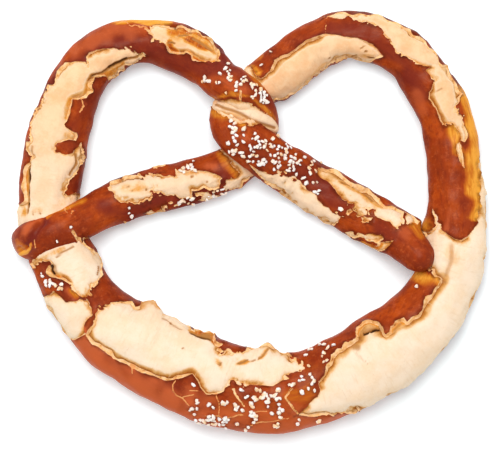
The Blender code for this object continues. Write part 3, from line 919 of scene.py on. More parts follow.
def noise(tree, scale, detail=3.0, roughness=0.55, distortion=0.0):
    """Noise over the object, with this many features to a metre."""
    node = tree.nodes.new("ShaderNodeTexNoise")
    node.inputs["Scale"].default_value = scale
    node.inputs["Detail"].default_value = detail
    node.inputs["Roughness"].default_value = roughness
    node.inputs["Distortion"].default_value = distortion
    wire(tree, place_of(tree), node.inputs["Vector"])
    return node.outputs["Fac"]


def streaks_along(tree, along, across, detail=4.0):
    """Noise drawn out along the rope, with this many features to a millimetre each way."""
    place = tree.nodes.new("ShaderNodeCombineXYZ")
    wire(tree, sums(tree, "MULTIPLY", painted(tree, "along"), along), place.inputs["X"])
    wire(tree, sums(tree, "MULTIPLY", painted(tree, "flat"), across), place.inputs["Y"])
    node = tree.nodes.new("ShaderNodeTexNoise")
    node.inputs["Scale"].default_value = 1.0
    node.inputs["Detail"].default_value = detail
    node.inputs["Roughness"].default_value = 0.65
    node.inputs["Distortion"].default_value = 0.6
    wire(tree, place.outputs[0], node.inputs["Vector"])
    return node.outputs["Fac"]


def ramp(tree, value, stops):
    """Colours along a value: each stop is where, and which colour."""
    node = tree.nodes.new("ShaderNodeValToRGB")
    while len(node.color_ramp.elements) < len(stops):
        node.color_ramp.elements.new(0.5)
    for element, (where, colour) in zip(node.color_ramp.elements, stops):
        element.position = where
        element.color = (*colour, 1.0)
    wire(tree, value, node.inputs["Fac"])
    return node.outputs["Color"]


def sums(tree, operation, first, second):
    """One number from two; each is a socket or a plain number."""
    node = tree.nodes.new("ShaderNodeMath")
    node.operation = operation
    for socket, given in zip(node.inputs, (first, second)):
        if isinstance(given, (int, float)):
            socket.default_value = given
        else:
            wire(tree, given, socket)
    return node.outputs[0]


def between(tree, value, low, high):
    """0 below low, 1 above high, smooth between."""
    node = tree.nodes.new("ShaderNodeMapRange")
    node.interpolation_type = "SMOOTHSTEP"
    node.inputs["From Min"].default_value = low
    node.inputs["From Max"].default_value = high
    wire(tree, value, node.inputs["Value"])
    return node.outputs["Result"]


def mixed(tree, share, first, second):
    """One colour turning into another by a share; each colour is a socket or three numbers."""
    node = tree.nodes.new("ShaderNodeMix")
    node.data_type = "RGBA"
    wire(tree, share, node.inputs["Factor"])
    for socket, given in zip((node.inputs[6], node.inputs[7]), (first, second)):
        if isinstance(given, tuple):
            socket.default_value = (*given, 1.0)
        else:
            wire(tree, given, socket)
    return node.outputs[2]


def bumped(tree, shader, height, distance, strength=1.0):
    """Gives the shader a relief of this many metres."""
    node = tree.nodes.new("ShaderNodeBump")
    node.inputs["Strength"].default_value = strength
    node.inputs["Distance"].default_value = distance
    wire(tree, height, node.inputs["Height"])
    wire(tree, node.outputs["Normal"], shader.inputs["Normal"])


def crust_finish():
    """Lye crust baked red-brown, amber where it is thin, with a soft gloss, painted sheen, painted shade in the left
    end's fold, and painted shadow round the salt grains.
    """
    material, tree, shader = finish_named("lye_crust")
    patches = between(tree, noise(tree, 55.0, 3.0), 0.38, 0.64)
    streaks = between(tree, noise(tree, 300.0, 4.0, 0.65), 0.42, 0.72)
    brown = mixed(tree, patches, (0.240, 0.029, 0.008), (0.460, 0.068, 0.008))
    brown = mixed(tree, streaks, brown, (0.330, 0.040, 0.007))
    fine = between(tree, streaks_along(tree, 0.22, 0.75), 0.46, 0.70)
    brown = mixed(tree, sums(tree, "MULTIPLY", fine, 0.55), brown, (0.180, 0.020, 0.006))
    specks = between(tree, noise(tree, 700.0, 3.0, 0.6), 0.56, 0.74)
    brown = mixed(tree, sums(tree, "MULTIPLY", specks, 0.40), brown, (0.560, 0.120, 0.030))
    mottles = between(tree, noise(tree, 420.0, 4.0, 0.7), 0.50, 0.72)
    brown = mixed(tree, sums(tree, "MULTIPLY", mottles, 0.30), brown, (0.620, 0.130, 0.040))
    # Crust that baked darker, and painted shade in the groove of the left end's fold.
    brown = mixed(tree, sums(tree, "MULTIPLY", painted(tree, "dark"), 0.9), brown, (0.180, 0.020, 0.013))
    # Painted sheen and highlights, mixed with crust that is paler there.
    brown = mixed(tree, painted(tree, "light"), brown, (0.600, 0.120, 0.036))
    amber = painted(tree, "amber")
    grain = sums(tree, "MULTIPLY", sums(tree, "SUBTRACT", streaks_along(tree, 0.16, 0.95), 0.5), 2.4)
    thin = sums(tree, "ADD", amber, sums(tree, "MULTIPLY", grain, amber))
    golden = ramp(tree, thin, [
        (0.0, (0.36, 0.055, 0.012)), (0.35, (0.52, 0.120, 0.012)), (0.65, (0.68, 0.23, 0.022)),
        (1.0, (0.85, 0.36, 0.045)),
    ])
    brown = mixed(tree, between(tree, thin, 0.0, 0.3), brown, golden)
    # The crust painted darker near the torn edges, and the painted shadow round each grain of salt.
    darkened_and_shadowed = sums(tree, "MULTIPLY", painted(tree, "edge_dark_and_grain_shadow"),
                    between(tree, noise(tree, 260.0, 3.0), 0.34, 0.58))
    brown = mixed(tree, sums(tree, "MULTIPLY", darkened_and_shadowed, 0.62), brown, (0.090, 0.012, 0.004))
    wire(tree, brown, shader.inputs["Base Color"])
    shader.inputs["Roughness"].default_value = 0.30
    shader.inputs["Specular Tint"].default_value = (1.0, 0.80, 0.64, 1.0)
    wire(tree, painted(tree, "gloss"), shader.inputs["Specular IOR Level"])
    bumped(tree, shader, noise(tree, 500.0, 5.0, 0.65), 0.00016)
    return material


def slope_finish():
    """The torn edge of the crust, baked golden, with painted shade where a fold or pit runs through it."""
    material, tree, shader = finish_named("torn_edge")
    patches = noise(tree, 500.0, 3.0, 0.6)
    golden = ramp(tree, patches, [
        (0.30, (0.50, 0.17, 0.030)), (0.42, (0.84, 0.46, 0.16)), (0.60, (0.94, 0.62, 0.32)),
    ])
    golden = mixed(tree, painted(tree, "crack"), golden, (0.80, 0.34, 0.10))
    # Painted shade of folds and pits.
    golden = mixed(tree, between(tree, painted(tree, "shade"), 0.3, 1.1), golden, (0.08, 0.025, 0.006))
    wire(tree, golden, shader.inputs["Base Color"])
    shader.inputs["Roughness"].default_value = 0.7
    bumped(tree, shader, noise(tree, 1500.0, 3.0, 0.6), 0.0001)
    return material


def crumb_finish():
    """Pale crumb, baked olive-gold where it meets the torn edge, with painted shade of the hollow under the edge
    mixed into that band, and a faint painted glow.
    """
    material, tree, shader = finish_named("crumb")
    # How far into the crumb the band of baked colour and painted shade reaches: wider where the crumb lies deep and
    # where the edge is broad.
    uneven = sums(tree, "MULTIPLY", sums(tree, "SUBTRACT", noise(tree, 450.0, 4.0, 0.7), 0.5), 2.2)
    depth = sums(tree, "ADD", painted(tree, "inside"), uneven)
    weak = sums(tree, "MULTIPLY", sums(tree, "SUBTRACT", 1.0, painted(tree, "deep")), 1.6)
    shorter = sums(tree, "SUBTRACT", 0.2, sums(tree, "MULTIPLY", painted(tree, "broad_toast_and_shade"), 0.1))
    share = sums(tree, "MULTIPLY", sums(tree, "ADD", depth, weak), shorter)
    patches = between(tree, noise(tree, 130.0, 5.0, 0.7), 0.36, 0.68)
    cream = mixed(tree, patches, (0.91, 0.725, 0.545), (0.88, 0.655, 0.44))
    tan = mixed(tree, patches, (0.90, 0.60, 0.35), (0.84, 0.48, 0.24))
    pale = mixed(tree, painted(tree, "baked"), cream, tan)
    grain = sums(tree, "MULTIPLY", sums(tree, "SUBTRACT", streaks_along(tree, 0.20, 0.9), 0.5), 1.3)
    blotches = sums(tree, "MULTIPLY", sums(tree, "SUBTRACT", noise(tree, 260.0, 3.0, 0.6), 0.5), 1.6)
    grain = sums(tree, "ADD", grain, blotches)
    gold = sums(tree, "ADD", painted(tree, "gold"), sums(tree, "MULTIPLY", grain, painted(tree, "gold")))
    golden = ramp(tree, gold, [
        (0.20, (0.84, 0.50, 0.22)), (0.45, (0.70, 0.29, 0.045)), (0.70, (0.58, 0.15, 0.015)),
        (0.95, (0.34, 0.065, 0.010)),
    ])
    # The band along the torn edge: crumb baked darker next to the crust, and painted shade of the hollow where the
    # crumb lies sunk under the edge.
    toast_and_shade_band = ramp(tree, share, [
        (0.0, (0.30, 0.090, 0.010)), (0.07, (0.47, 0.18, 0.035)), (0.12, (0.58, 0.26, 0.065)),
        (0.18, (0.70, 0.38, 0.14)), (0.24, (0.78, 0.47, 0.23)), (0.34, (0.85, 0.62, 0.40)),
    ])
    colour = mixed(tree, between(tree, share, 0.24, 0.55), toast_and_shade_band, pale)
    colour = mixed(tree, between(tree, gold, 0.05, 0.45), colour, golden)
    wrinkles = between(tree, streaks_along(tree, 1.1, 0.14, 3.0), 0.52, 0.75)
    colour = mixed(tree, sums(tree, "MULTIPLY", wrinkles, 0.35), colour, (0.80, 0.55, 0.32))
    # Painted shade in folds and pits, near black in the deepest.
    colour = mixed(tree, between(tree, painted(tree, "shade"), 0.0, 0.7), colour, (0.44, 0.185, 0.050))
    colour = mixed(tree, between(tree, painted(tree, "shade"), 0.7, 1.0), colour, (0.15, 0.055, 0.012))
    colour = mixed(tree, between(tree, painted(tree, "shade"), 1.0, 1.4), colour, (0.02, 0.006, 0.003))
    specks = between(tree, noise(tree, 1500.0, 2.0, 0.5), 0.66, 0.78)
    colour = mixed(tree, sums(tree, "MULTIPLY", specks, 0.3), colour, (0.60, 0.38, 0.18))
    wire(tree, colour, shader.inputs["Base Color"])
    # The crumb glows faintly in its own colour: painted light, brightening its sides as a fill would.
    wire(tree, colour, shader.inputs["Emission Color"])
    shader.inputs["Emission Strength"].default_value = 0.06
    shader.inputs["Roughness"].default_value = 0.95
    shader.inputs["Specular IOR Level"].default_value = 0.05
    relief = sums(tree, "ADD", noise(tree, 900.0, 5.0, 0.65), sums(tree, "MULTIPLY", wrinkles, -0.3))
    bumped(tree, shader, relief, 0.00025)
    return material


def underside_finish():
    """The flat underside, baked brown on the sheet and dull."""
    material, tree, shader = finish_named("underside")
    patches = noise(tree, 110.0, 4.0, 0.6)
    colour = ramp(tree, patches, [
        (0.30, (0.20, 0.055, 0.020)), (0.52, (0.36, 0.13, 0.045)), (0.75, (0.55, 0.26, 0.10)),
    ])
    wire(tree, colour, shader.inputs["Base Color"])
    shader.inputs["Roughness"].default_value = 0.75
    bumped(tree, shader, noise(tree, 700.0, 4.0, 0.6), 0.0002)
    return material


def salt_finish():
    """Coarse white salt."""
    material, tree, shader = finish_named("salt")
    colour = ramp(tree, noise(tree, 280.0, 1.0), [
        (0.38, (0.97, 0.92, 0.88)), (0.55, (0.97, 0.83, 0.70)), (0.64, (0.95, 0.64, 0.36)),
    ])
    wire(tree, colour, shader.inputs["Base Color"])
    shader.inputs["Roughness"].default_value = 0.35
    bumped(tree, shader, noise(tree, 2500.0, 2.0), 0.00008)
    return material


def floor_finish():
    """A plain white table."""
    material, tree, shader = finish_named("white_floor")
    shader.inputs["Base Color"].default_value = (0.90, 0.97, 0.98, 1.0)
    shader.inputs["Roughness"].default_value = 0.9
    shader.inputs["Specular IOR Level"].default_value = 0.1
    shader.inputs["Emission Color"].default_value = (0.86, 0.96, 1.0, 1.0)
    shader.inputs["Emission Strength"].default_value = FLOOR_GLOW
    return material


# ---------------------------------------------------------------- painting the crust

# Amber crust, thin and golden: the stretch, how strong, how wide, and the line it lies along.
AMBER = [
    ((13.3, 17.5), 0.95, 1.5, [(-48, 73), (-36, 72.3), (-29, 71.8)]),
    ((10.5, 12.5), 0.40, 1.2, [(-3.5, 55.6), (0, 53), (3, 50), (6.5, 45.5)]),
    ((39.5, 45.0), 0.95, 3.0, [(77, 48), (79, 41), (80.6, 30), (80.8, 20), (81.4, 8), (81.4, 1)]),
    ((40.0, 42.5), 0.55, 2.2, [(77.6, 23), (78.6, 14)]),
    ((41.0, 44.0), 0.8, 2.5, [(72.5, 33), (74, 26)]),
    ((48.0, 51.6), 0.75, 1.2, [(-1, 57.5), (1.5, 55.5), (3, 53.5)]),
    ((48.0, 51.6), 0.35, 1.5, [(0, 58.5), (3, 60.5)]),
    ((52.0, 55.0), 0.65, 1.8, [(-13, 39), (-7, 37), (-3, 35.3)]),
    ((9.0, 12.5), 0.50, 0.8, [(-13, 44.5), (-7, 45.5), (0, 44.5), (5, 41), (8.5, 37)]),
    ((6.0, 8.6), 0.50, 2.2, [(-10.5, 24.5), (-7, 20.5), (-5, 17.5)]),
    ((58.5, 62.0), 0.5, 2.0, [(58, -1.0), (61, -4.0)]),
    ((38.5, 40.5), 0.6, 2.5, [(62, 0), (64, -2.5)]),
    ((36.0, 38.5), 0.8, 2.5, [(58, -19), (67, -20.5)]),
    ((0.0, 1.5), 1.0, 0.55, [(-82.6, -11.6), (-80, -11.2), (-78.8, -9.8), (-78.4, -8.2)]),
    ((0.0, 1.5), 0.42, 1.8, [(-83.2, -6.5), (-82.4, -9)]),
    ((2.0, 4.5), 0.5, 1.3, [(-74, 2), (-66, 5.5), (-60, 8)]),
    ((24.0, 25.5), 0.6, 1.2, [(-63.5, -24.5), (-62, -26)]),
    ((29.0, 34.0), 0.12, 8.0, [(-10, -66), (10, -66), (22, -58)]),
    ((31.0, 34.5), 0.28, 3.0, [(15, -62), (20, -63), (22, -57)]),
]

# Crust that baked darker, and painted shade in the groove of the left end's fold.
DARK = [
    ((12.0, 19.0), 0.8, 4.0, [(-12, 56), (-22, 55), (-33, 61), (-45, 66), (-60, 58), (-70, 50)]),
    ((16.0, 23.0), 0.5, 3.5, [(-55, 48), (-61, 36), (-64, 26), (-63, 14)]),
    ((54.0, 61.0), 0.8, 3.6, [(17, 18), (24, 14), (30, 8), (34, 5)]),
    ((54.0, 61.0), 0.5, 3.5, [(45, -2), (52, -5)]),
    # painted shade in the groove of the left end's fold
    ((0.0, 3.0), 1.0, 1.7, [(-72.5, 0.5), (-74.8, -1.2), (-77, -4.8), (-79.6, -9.6)]),
    ((10.5, 13.6), 1.0, 1.2, [(-25, 71.8), (-20, 70.8), (-15.5, 68.3), (-12, 64.8), (-10, 61), (-9, 57)]),
    ((3.0, 7.5), 0.9, 3.2, [(-52, 5), (-45, 3.5), (-32, 7.5), (-20, 10), (-9, 16)]),
    ((9.0, 13.0), 0.6, 3.0, [(-10, 55), (-3, 53), (3, 49), (7, 43)]),
    ((52.0, 55.5), 0.4, 4.0, [(-10, 30), (-4, 26), (6, 22)]),
    ((41.5, 46.0), 1.0, 1.3, [(45, 78), (56, 73), (66, 66), (73, 57), (77.5, 48)]),
    ((43.0, 49.0), 0.8, 3.5, [(20, 63), (30, 70), (42, 67), (56, 56), (62, 46)]),
    ((37.0, 41.0), 0.45, 3.0, [(77, 8), (79, 0)]),
    ((22.0, 25.0), 0.4, 3.0, [(-73, -18), (-66, -23)]),
    ((26.0, 33.0), 0.6, 2.5, [(-56, -45), (-40, -55), (-26, -59)]),
    ((35.0, 40.0), 0.5, 3.0, [(53, -24), (60, -18), (68, -8)]),
]

# Painted sheen and highlights: crust painted paler and pinker on the belly's outer side, where the white table is
# reflected, and where the crust is glossed and paler.
LIGHT = [
    ((24.0, 38.5), 0.9, 11.0, [(-62, -44), (-45, -60), (-20, -72), (0, -77), (25, -75), (45, -67)]),
    ((15.0, 18.5), 0.6, 3.0, [(-62, 61), (-50, 68.5), (-40, 69.5)]),
    ((24.0, 25.5), 0.9, 1.2, [(-64.5, -24.5), (-63, -26)]),
    ((10.0, 13.0), 0.5, 2.0, [(-13, 50), (-7, 50), (-2, 46)]),
    ((6.0, 8.0), 0.9, 1.5, [(-15, 20.5), (-13, 20)]),
    ((43.0, 46.0), 0.5, 2.0, [(60, 46), (62, 40)]),
    ((58.0, 61.0), 0.5, 2.0, [(52, -1), (56, -4)]),
    ((38.0, 41.0), 0.6, 1.0, [(71.6, 4.5), (71.0, 0), (70.0, -3)]),
    ((0.0, 3.0), 0.75, 1.3, [(-75.5, 1.2), (-78, -1.2), (-80.5, -4)]),
]

# Crumb that baked golden: ridges, flaps and shelves in the bursts.
GOLD = [
    ((11.0, 16.0), 0.60, 2.4, [(-28.5, 69.3), (-28, 67.5)]),
    ((11.0, 16.0), 0.72, 3.4, [(-26, 69.0), (-21, 68.2), (-16, 65.4), (-12.6, 62.2)]),
    ((11.0, 16.0), 0.95, 1.2, [(-29, 70.8), (-25.5, 70.4), (-21.5, 69.8)]),
    ((11.0, 16.0), 0.90, 1.8, [(-22.6, 65.6), (-20.4, 64.4), (-17, 62.6), (-13.3, 60.4)]),
    ((11.0, 16.0), -0.60, 0.55, [(-21.8, 67.0), (-17.2, 65.0), (-13.2, 62.6), (-11.6, 60.4)]),
    ((11.0, 16.0), 0.42, 3.2, [(-26.5, 67.4), (-20, 66.4), (-14.0, 63.2)]),
    ((11.0, 16.0), 0.75, 1.5, [(-29.0, 64.2), (-28.4, 62.4), (-26.4, 61)]),
    ((11.0, 16.0), 0.70, 1.2, [(-22.5, 60.4), (-21, 59), (-19, 57.8)]),
    ((11.0, 16.0), 0.50, 0.8, [(-18, 57.6), (-13, 57.6)]),
    ((13.5, 17.5), 0.65, 1.9, [(-56, 50.5), (-51, 53), (-46, 57)]),
    ((16.0, 20.0), 0.45, 1.6, [(-65.4, 37.5), (-64.2, 43), (-60, 45.6), (-57.6, 48.4)]),
    ((19.0, 24.0), 0.50, 1.3, [(-80.6, 19.5), (-80.8, 8)]),
    ((20.0, 24.0), 0.38, 1.5, [(-81.5, 7), (-80.8, 3.5)]),
    ((20.0, 23.5), 0.22, 1.3, [(-77, 3.6), (-70, 5.6), (-63, 9.2)]),
    ((20.0, 23.5), 0.16, 0.9, [(-76, 8.5), (-71, 5.8)]),
    ((15.0, 18.0), 0.30, 2.5, [(-66, 47), (-69, 40)]),
    ((19.0, 21.5), 0.30, 1.5, [(-66, 31), (-63.5, 31)]),
    ((22.0, 26.0), 0.6, 1.5, [(-72.5, -16), (-72, -18.5), (-69, -19.5)]),
    ((22.0, 26.0), 0.35, 1.2, [(-79, -15), (-73, -12.5), (-67, -10)]),
    ((25.5, 29.5), 0.55, 2.5, [(-36, -29), (-33.5, -31)]),
    ((27.0, 30.0), 0.62, 1.5, [(-21, -39.4), (-16, -41.2), (-12, -42.5)]),
    ((27.0, 30.0), 0.85, 0.6, [(-19.6, -39.6), (-16.4, -40.4)]),
    ((29.0, 34.0), 0.42, 1.1, [(-5.5, -51.2), (-2, -50.6), (2.4, -50.2), (6, -48.2)]),
    ((29.0, 31.5), 0.42, 1.2, [(-11.8, -50.3), (-10.4, -51.6)]),
    ((29.0, 33.0), 0.40, 1.8, [(3, -42.5), (7, -41.8)]),
    ((34.0, 37.0), 0.50, 1.1, [(38.4, -40.2), (39.2, -37.5), (41, -36.3), (44, -36.3), (46.2, -37.4)]),
    ((34.0, 37.0), 0.50, 1.6, [(50.5, -38.5), (52.5, -36.5), (54.5, -36)]),
    ((36.0, 41.0), 0.22, 2.5, [(72.5, -8), (72, -14), (70, -19)]),
    ((41.0, 46.0), 0.12, 4.0, [(68, 38), (72, 46), (70, 58)]),
    ((43.0, 48.0), 0.22, 2.4, [(30, 77), (45, 75)]),
    ((44.5, 49.5), 0.30, 1.0, [(10, 47), (20, 51), (27, 57), (33, 60), (44, 60)]),
    ((4.0, 7.0), 0.30, 2.2, [(-43.5, 11.5), (-38, 11.5)]),
    ((4.0, 7.0), 0.45, 1.0, [(-44.5, 16.4), (-40, 16.8)]),
    ((56.0, 61.0), 0.45, 1.6, [(32, 14), (41, 9), (47, 6)]),
    ((58.0, 61.0), 0.65, 1.5, [(38, -6.8), (46, -8.5)]),
    ((36.0, 38.0), 0.5, 2.0, [(57, -32), (62, -28)]),
]


def lay_tone(mesh, name, strokes):
    """Paints soft strokes on the skin as one value."""
    x, y, place = values(mesh, "plan_x"), values(mesh, "plan_y"), values(mesh, "place")
    at = np.stack([x, y], axis=1)
    tone = np.zeros(len(x))
    for (first, last), strength, width, line in strokes:
        near = (place >= first) & (place <= last)
        reach = line_distance(x[near], y[near], line)
        reach += 0.25 * width * ripple(at[near], 9.0, 60)
        share = smooth_step(1.15 - 0.8 * reach / width)
        tone[near] = np.maximum(tone[near], strength * share) if strength > 0 else tone[near] * (1 + strength * share)
    set_values(mesh, name, tone)


# ---------------------------------------------------------------- salt

# Where the salt lies: x, y, how far the patch reaches, and how many grains. Lengths in millimetres.
SALT = [
    # on the upper crossing
    (-10.5, 53, 0.1, 1), (-7.6, 53.4, 0.7, 4), (-7.2, 51.8, 0.6, 3), (-15.8, 51, 0.8, 4), (-11.4, 49.4, 0.8, 2),
    (-8, 56.4, 0.1, 1), (-5, 48.5, 0.9, 4), (-2.3, 50.7, 0.8, 4), (-8.4, 46, 0.1, 1),
    (0.8, 48.6, 0.7, 3), (2.2, 46.6, 1.0, 6), (5.2, 45, 0.8, 4), (1, 44, 0.1, 1), (4.4, 43.2, 0.8, 5),
    # on the lower crossing and the head of the right arm
    (-6.5, 36, 1.0, 3), (-7, 33.5, 1.1, 4), (-5, 32.5, 0.5, 2), (-2, 33.2, 0.3, 1),
    (-2, 30.7, 0.2, 1), (-2, 28.3, 0.3, 1), (-5, 30, 0.8, 3), (-7.5, 28, 0.3, 2), (-5, 26.5, 1.3, 6),
    (2, 29.7, 1.0, 4), (1, 27, 0.8, 3), (4.7, 28, 1.0, 4), (4, 26.8, 0.8, 3), (8, 29.6, 0.1, 1),
    (10, 30.5, 0.2, 1), (7.5, 26.5, 0.8, 4), (9.8, 26.6, 0.7, 3), (12.5, 26.6, 0.8, 4),
    (-2.5, 23.5, 0.1, 1), (-0.5, 22, 0.4, 2), (1, 23.4, 1.1, 4), (4, 22, 1.4, 6), (9, 23.2, 1.2, 6),
    (10, 20.5, 1.0, 4), (12.8, 23, 0.9, 4), (15.3, 22.5, 1.0, 5), (17, 21.5, 0.8, 3),
    (15.3, 19.2, 1.3, 7), (19.7, 23, 0.3, 2), (22.6, 22, 0.3, 1), (25.5, 21.2, 0.1, 1),
    (22, 19.5, 1.6, 5), (19, 16, 0.3, 1), (20.2, 14, 0.2, 1), (24, 14.2, 0.8, 2),
    (24, 10.7, 0.8, 3), (32.5, 4.5, 0.1, 1),
    # on the left arm
    (-24.2, 18.6, 0.7, 3), (-20.8, 19.4, 0.9, 5), (-43.3, 5, 0.1, 1), (-43.5, 3.3, 0.1, 1),
    (-42.7, 2.3, 0.1, 1), (-24.5, 7.6, 0.7, 3), (-21.2, 8.0, 1.0, 4), (-15.5, 8.8, 1.4, 3),
    (-12.0, 10, 0.9, 4), (-9.5, 11, 0.8, 4), (-7, 11, 0.5, 2),
    # along the foot of the belly
    (-20, -58, 0.1, 1), (-19, -63.8, 0.9, 2), (-19, -66.5, 0.2, 1), (-21.8, -67, 0.8, 2),
    (-20, -68.6, 0.2, 1), (-17.8, -71, 0.9, 5), (-14, -71.6, 1.3, 9), (-9.7, -71.3, 1.1, 8),
    (-13.7, -66, 0.7, 2), (-8, -64, 0.9, 2), (-5, -66.5, 1.1, 3), (-2.7, -67, 0.2, 1),
    (-4.5, -72, 0.1, 1), (-3.2, -60, 0.1, 1), (-1.4, -62.2, 1.0, 2), (0.2, -69, 1.1, 3),
    (-1.3, -73.5, 0.8, 2), (3.4, -59.8, 0.8, 2), (10.2, -60, 0.2, 1), (4.6, -61.7, 0.7, 2),
    (2, -62.6, 0.8, 2), (7.2, -62, 0.9, 3), (9.6, -63, 1.1, 3), (6.5, -64.5, 0.8, 2),
    (0.7, -65.3, 0.7, 2), (10.8, -66.5, 0.9, 3), (7.7, -68, 0.1, 1), (11.5, -69, 0.9, 2),
    (1.6, -69.7, 1.0, 3), (9.4, -73, 1.0, 3), (17.7, -71.4, 0.8, 2), (24.7, -71, 0.1, 1),
    # on the bridge of crust between the two great bursts
    (14.3, -58, 0.8, 2), (18.2, -56, 1.0, 3), (21.5, -54.3, 1.0, 2), (22.5, -56.7, 0.8, 2),
    (20.8, -59.4, 0.1, 1), (18.4, -60.6, 0.1, 1), (23, -60, 0.1, 1), (21.2, -51.5, 0.1, 1),
    (26.1, -48.4, 0.8, 2), (27, -50.8, 1.0, 2), (26, -44.1, 0.8, 2), (28, -45, 0.1, 1),
    (30, -44.2, 0.1, 1), (21.3, -46.3, 0.9, 3),
    # on the left side
    (-74.5, -18.8, 0.6, 2), (-72.5, -21.3, 0.9, 3), (-70.8, -22, 0.8, 4), (-69, -22.8, 0.4, 1),
    (-67.4, -24.2, 0.9, 3), (-64, -2, 0.1, 1), (-68.8, -6.8, 0.1, 1), (7.5, 61, 0.1, 1),
    (4.3, 56.5, 0.1, 1), (59.8, -23, 0.1, 1),
]
GRAIN = 1.55
# The grains on the belly are larger.
BELLY_GRAINS = 1.18
BELLY_BELOW = -40.0
GRAIN_APART = 0.95
CAST_FROM = 40.0
# How glossy the crust is on top; low on the sides it is duller.
GLOSS = 0.09


def salt_grains(ground):
    """Every grain of salt, in one mesh: angular lumps laid where the rope's skin is. And their places."""
    rng = np.random.default_rng(8)
    lots = bmesh.new()
    laid, places = [], []
    for x, y, reach, count in SALT:
        for _ in range(count):
            for _ in range(20):
                spot = np.array([x, y]) + rng.normal(size=2) * reach * 0.75
                if all(np.hypot(*(spot - other)) > GRAIN_APART for other in laid):
                    break
            hit = ground.ray_cast(Vector((*spot, CAST_FROM)) * MM, Vector((0, 0, -1)))
            if hit[0] is None:
                continue
            laid.append(spot)
            places.append(hit[0])
            add_grain(lots, rng, hit[0], hit[1], BELLY_GRAINS if y < BELLY_BELOW else 1.0)
    return lots, places


def shade_round_grains(mesh, places):
    """Paints a shadow on the crust round each grain of salt, the shade each grain casts."""
    grains = KDTree(len(places))
    for number, place in enumerate(places):
        grains.insert(place, number)
    grains.balance()
    away = np.array([grains.find(vert.co)[2] for vert in mesh.verts]) / MM
    grain_shadow = 0.8 * smooth_step(1.7 - away)
    set_values(mesh, "edge_dark_and_grain_shadow", np.maximum(values(mesh, "edge_dark_and_grain_shadow"), grain_shadow))


def add_grain(lots, rng, place, up, larger):
    """One angular grain, bedded a little into the crust."""
    made = bmesh.ops.create_icosphere(lots, subdivisions=1, radius=GRAIN * MM / 2)
    verts = made["verts"]
    for vert in verts:
        vert.co *= rng.uniform(0.66, 1.26)
    size = larger * rng.uniform(0.65, 1.15)
    stretch = (size * rng.uniform(0.9, 1.6), size * rng.uniform(0.70, 1.05), size * rng.uniform(0.6, 0.9))
    bmesh.ops.scale(lots, vec=stretch, verts=verts)
    spin = Euler((rng.uniform(-0.4, 0.4), rng.uniform(-0.4, 0.4), rng.uniform(0, 2 * math.pi)))
    bmesh.ops.rotate(lots, cent=(0, 0, 0), matrix=spin.to_matrix(), verts=verts)
    tilt = Vector((0, 0, 1)).rotation_difference(up)
    bmesh.ops.rotate(lots, cent=(0, 0, 0), matrix=tilt.to_matrix(), verts=verts)
    bmesh.ops.translate(lots, vec=place + up * 0.22 * GRAIN * MM, verts=verts)


# ---------------------------------------------------------------- making the pretzel

skin = rolled_skin()
for name, within in REFINED:
    write_gaps(skin)
    refine(skin, name, within)
write_gaps(skin)
cut_along(skin, "gap")
cut_along(skin, "foot")
shape_skin(skin)
lay_tone(skin, "amber", AMBER)
lay_tone(skin, "dark", DARK)
lay_tone(skin, "light", LIGHT)
lay_tone(skin, "gold", GOLD)
baked = smooth_step((values(skin, "plan_y") + 20) / 70)
set_values(skin, "baked", baked)
side = np.abs(values(skin, "flat")) / np.maximum(values(skin, "half"), 1.0)
set_values(skin, "gloss", GLOSS * (1 - 0.85 * smooth_step((side - 0.35) / 0.45)))
paint_faces(skin)
grains, grain_places = salt_grains(BVHTree.FromBMesh(skin))
shade_round_grains(skin, grain_places)
crumb = crumb_finish()
pretzel = finished("baked_rope", skin, [crust_finish(), slope_finish(), crumb, underside_finish()])
print("triangles", sum(len(p.vertices) - 2 for p in pretzel.data.polygons))
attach(pretzel, "root")
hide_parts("pretzel")

between_crossings = finished("knot_crumb", knot_crumb(), [crumb])
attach(between_crossings, "root")

salt = finished("coarse_salt", grains, [salt_finish()])
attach(salt, "root")


# ---------------------------------------------------------------- floor, light and camera

VIEW_WIDTH = 180.0 * MM
CAMERA_HEIGHT = 1.1
SENSOR = 36.0
FLOOR_GLOW = 0.26
# Half the table's side in metres, and how far below the underside it lies, in millimetres.
FLOOR_HALF = 1.5
FLOOR_BELOW = 0.05


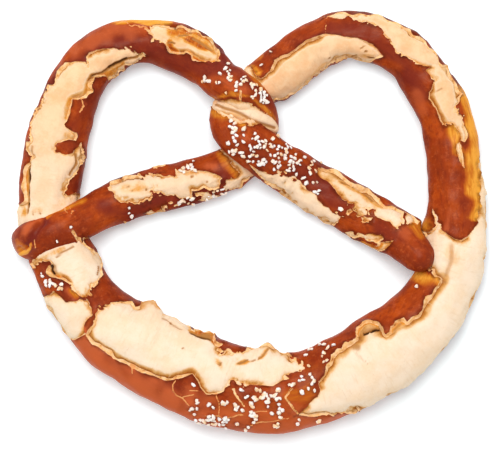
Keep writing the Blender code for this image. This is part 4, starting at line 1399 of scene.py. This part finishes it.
def floor_under():
    """The white table the pretzel lies on, a hair below its flat underside."""
    mesh = bmesh.new()
    bmesh.ops.create_grid(mesh, x_segments=1, y_segments=1, size=FLOOR_HALF)
    bmesh.ops.translate(mesh, vec=(0, 0, -FLOOR_BELOW * MM), verts=mesh.verts)
    floor = finished("floor", mesh, [floor_finish()])


def soft_light(name, place, aim, size, power):
    """A large square lamp, turned towards a point."""
    lamp = bpy.data.lights.new(name, "AREA")
    lamp.size = size
    lamp.energy = power
    made = bpy.data.objects.new(name, lamp)
    made.location = place
    made.rotation_euler = (Vector(aim) - Vector(place)).to_track_quat("-Z", "Y").to_euler()
    bpy.context.scene.collection.objects.link(made)


def surroundings(low, high):
    """White light from all round, weaker straight above, where a camera hangs."""
    world = bpy.data.worlds.new("studio")
    world.use_nodes = True
    tree = world.node_tree
    direction = tree.nodes.new("ShaderNodeTexCoord").outputs["Generated"]
    split = tree.nodes.new("ShaderNodeSeparateXYZ")
    wire(tree, direction, split.inputs["Vector"])
    strength = tree.nodes.new("ShaderNodeMapRange")
    strength.interpolation_type = "SMOOTHSTEP"
    for name, number in (("From Min", 0.60), ("From Max", 0.95), ("To Min", low), ("To Max", high)):
        strength.inputs[name].default_value = number
    wire(tree, split.outputs["Z"], strength.inputs["Value"])
    back = tree.nodes["Background"]
    back.inputs["Color"].default_value = (1.0, 1.0, 1.0, 1.0)
    wire(tree, strength.outputs["Result"], back.inputs["Strength"])
    bpy.context.scene.world = world


def camera_above():
    """Looks straight down, from far enough that the pretzel shows nearly flat."""
    lens = bpy.data.cameras.new("camera")
    lens.sensor_width = SENSOR
    lens.lens = SENSOR * (CAMERA_HEIGHT - 0.010) / VIEW_WIDTH
    made = bpy.data.objects.new("camera", lens)
    made.location = (0.0, -0.002, CAMERA_HEIGHT)
    bpy.context.scene.collection.objects.link(made)
    bpy.context.scene.camera = made


floor_under()
soft_light("window", (-0.15, 0.55, 1.75), (0, 0, 0), 0.9, 28.0)
surroundings(0.70, 0.08)
camera_above()
bpy.context.scene.view_settings.view_transform = "Standard"
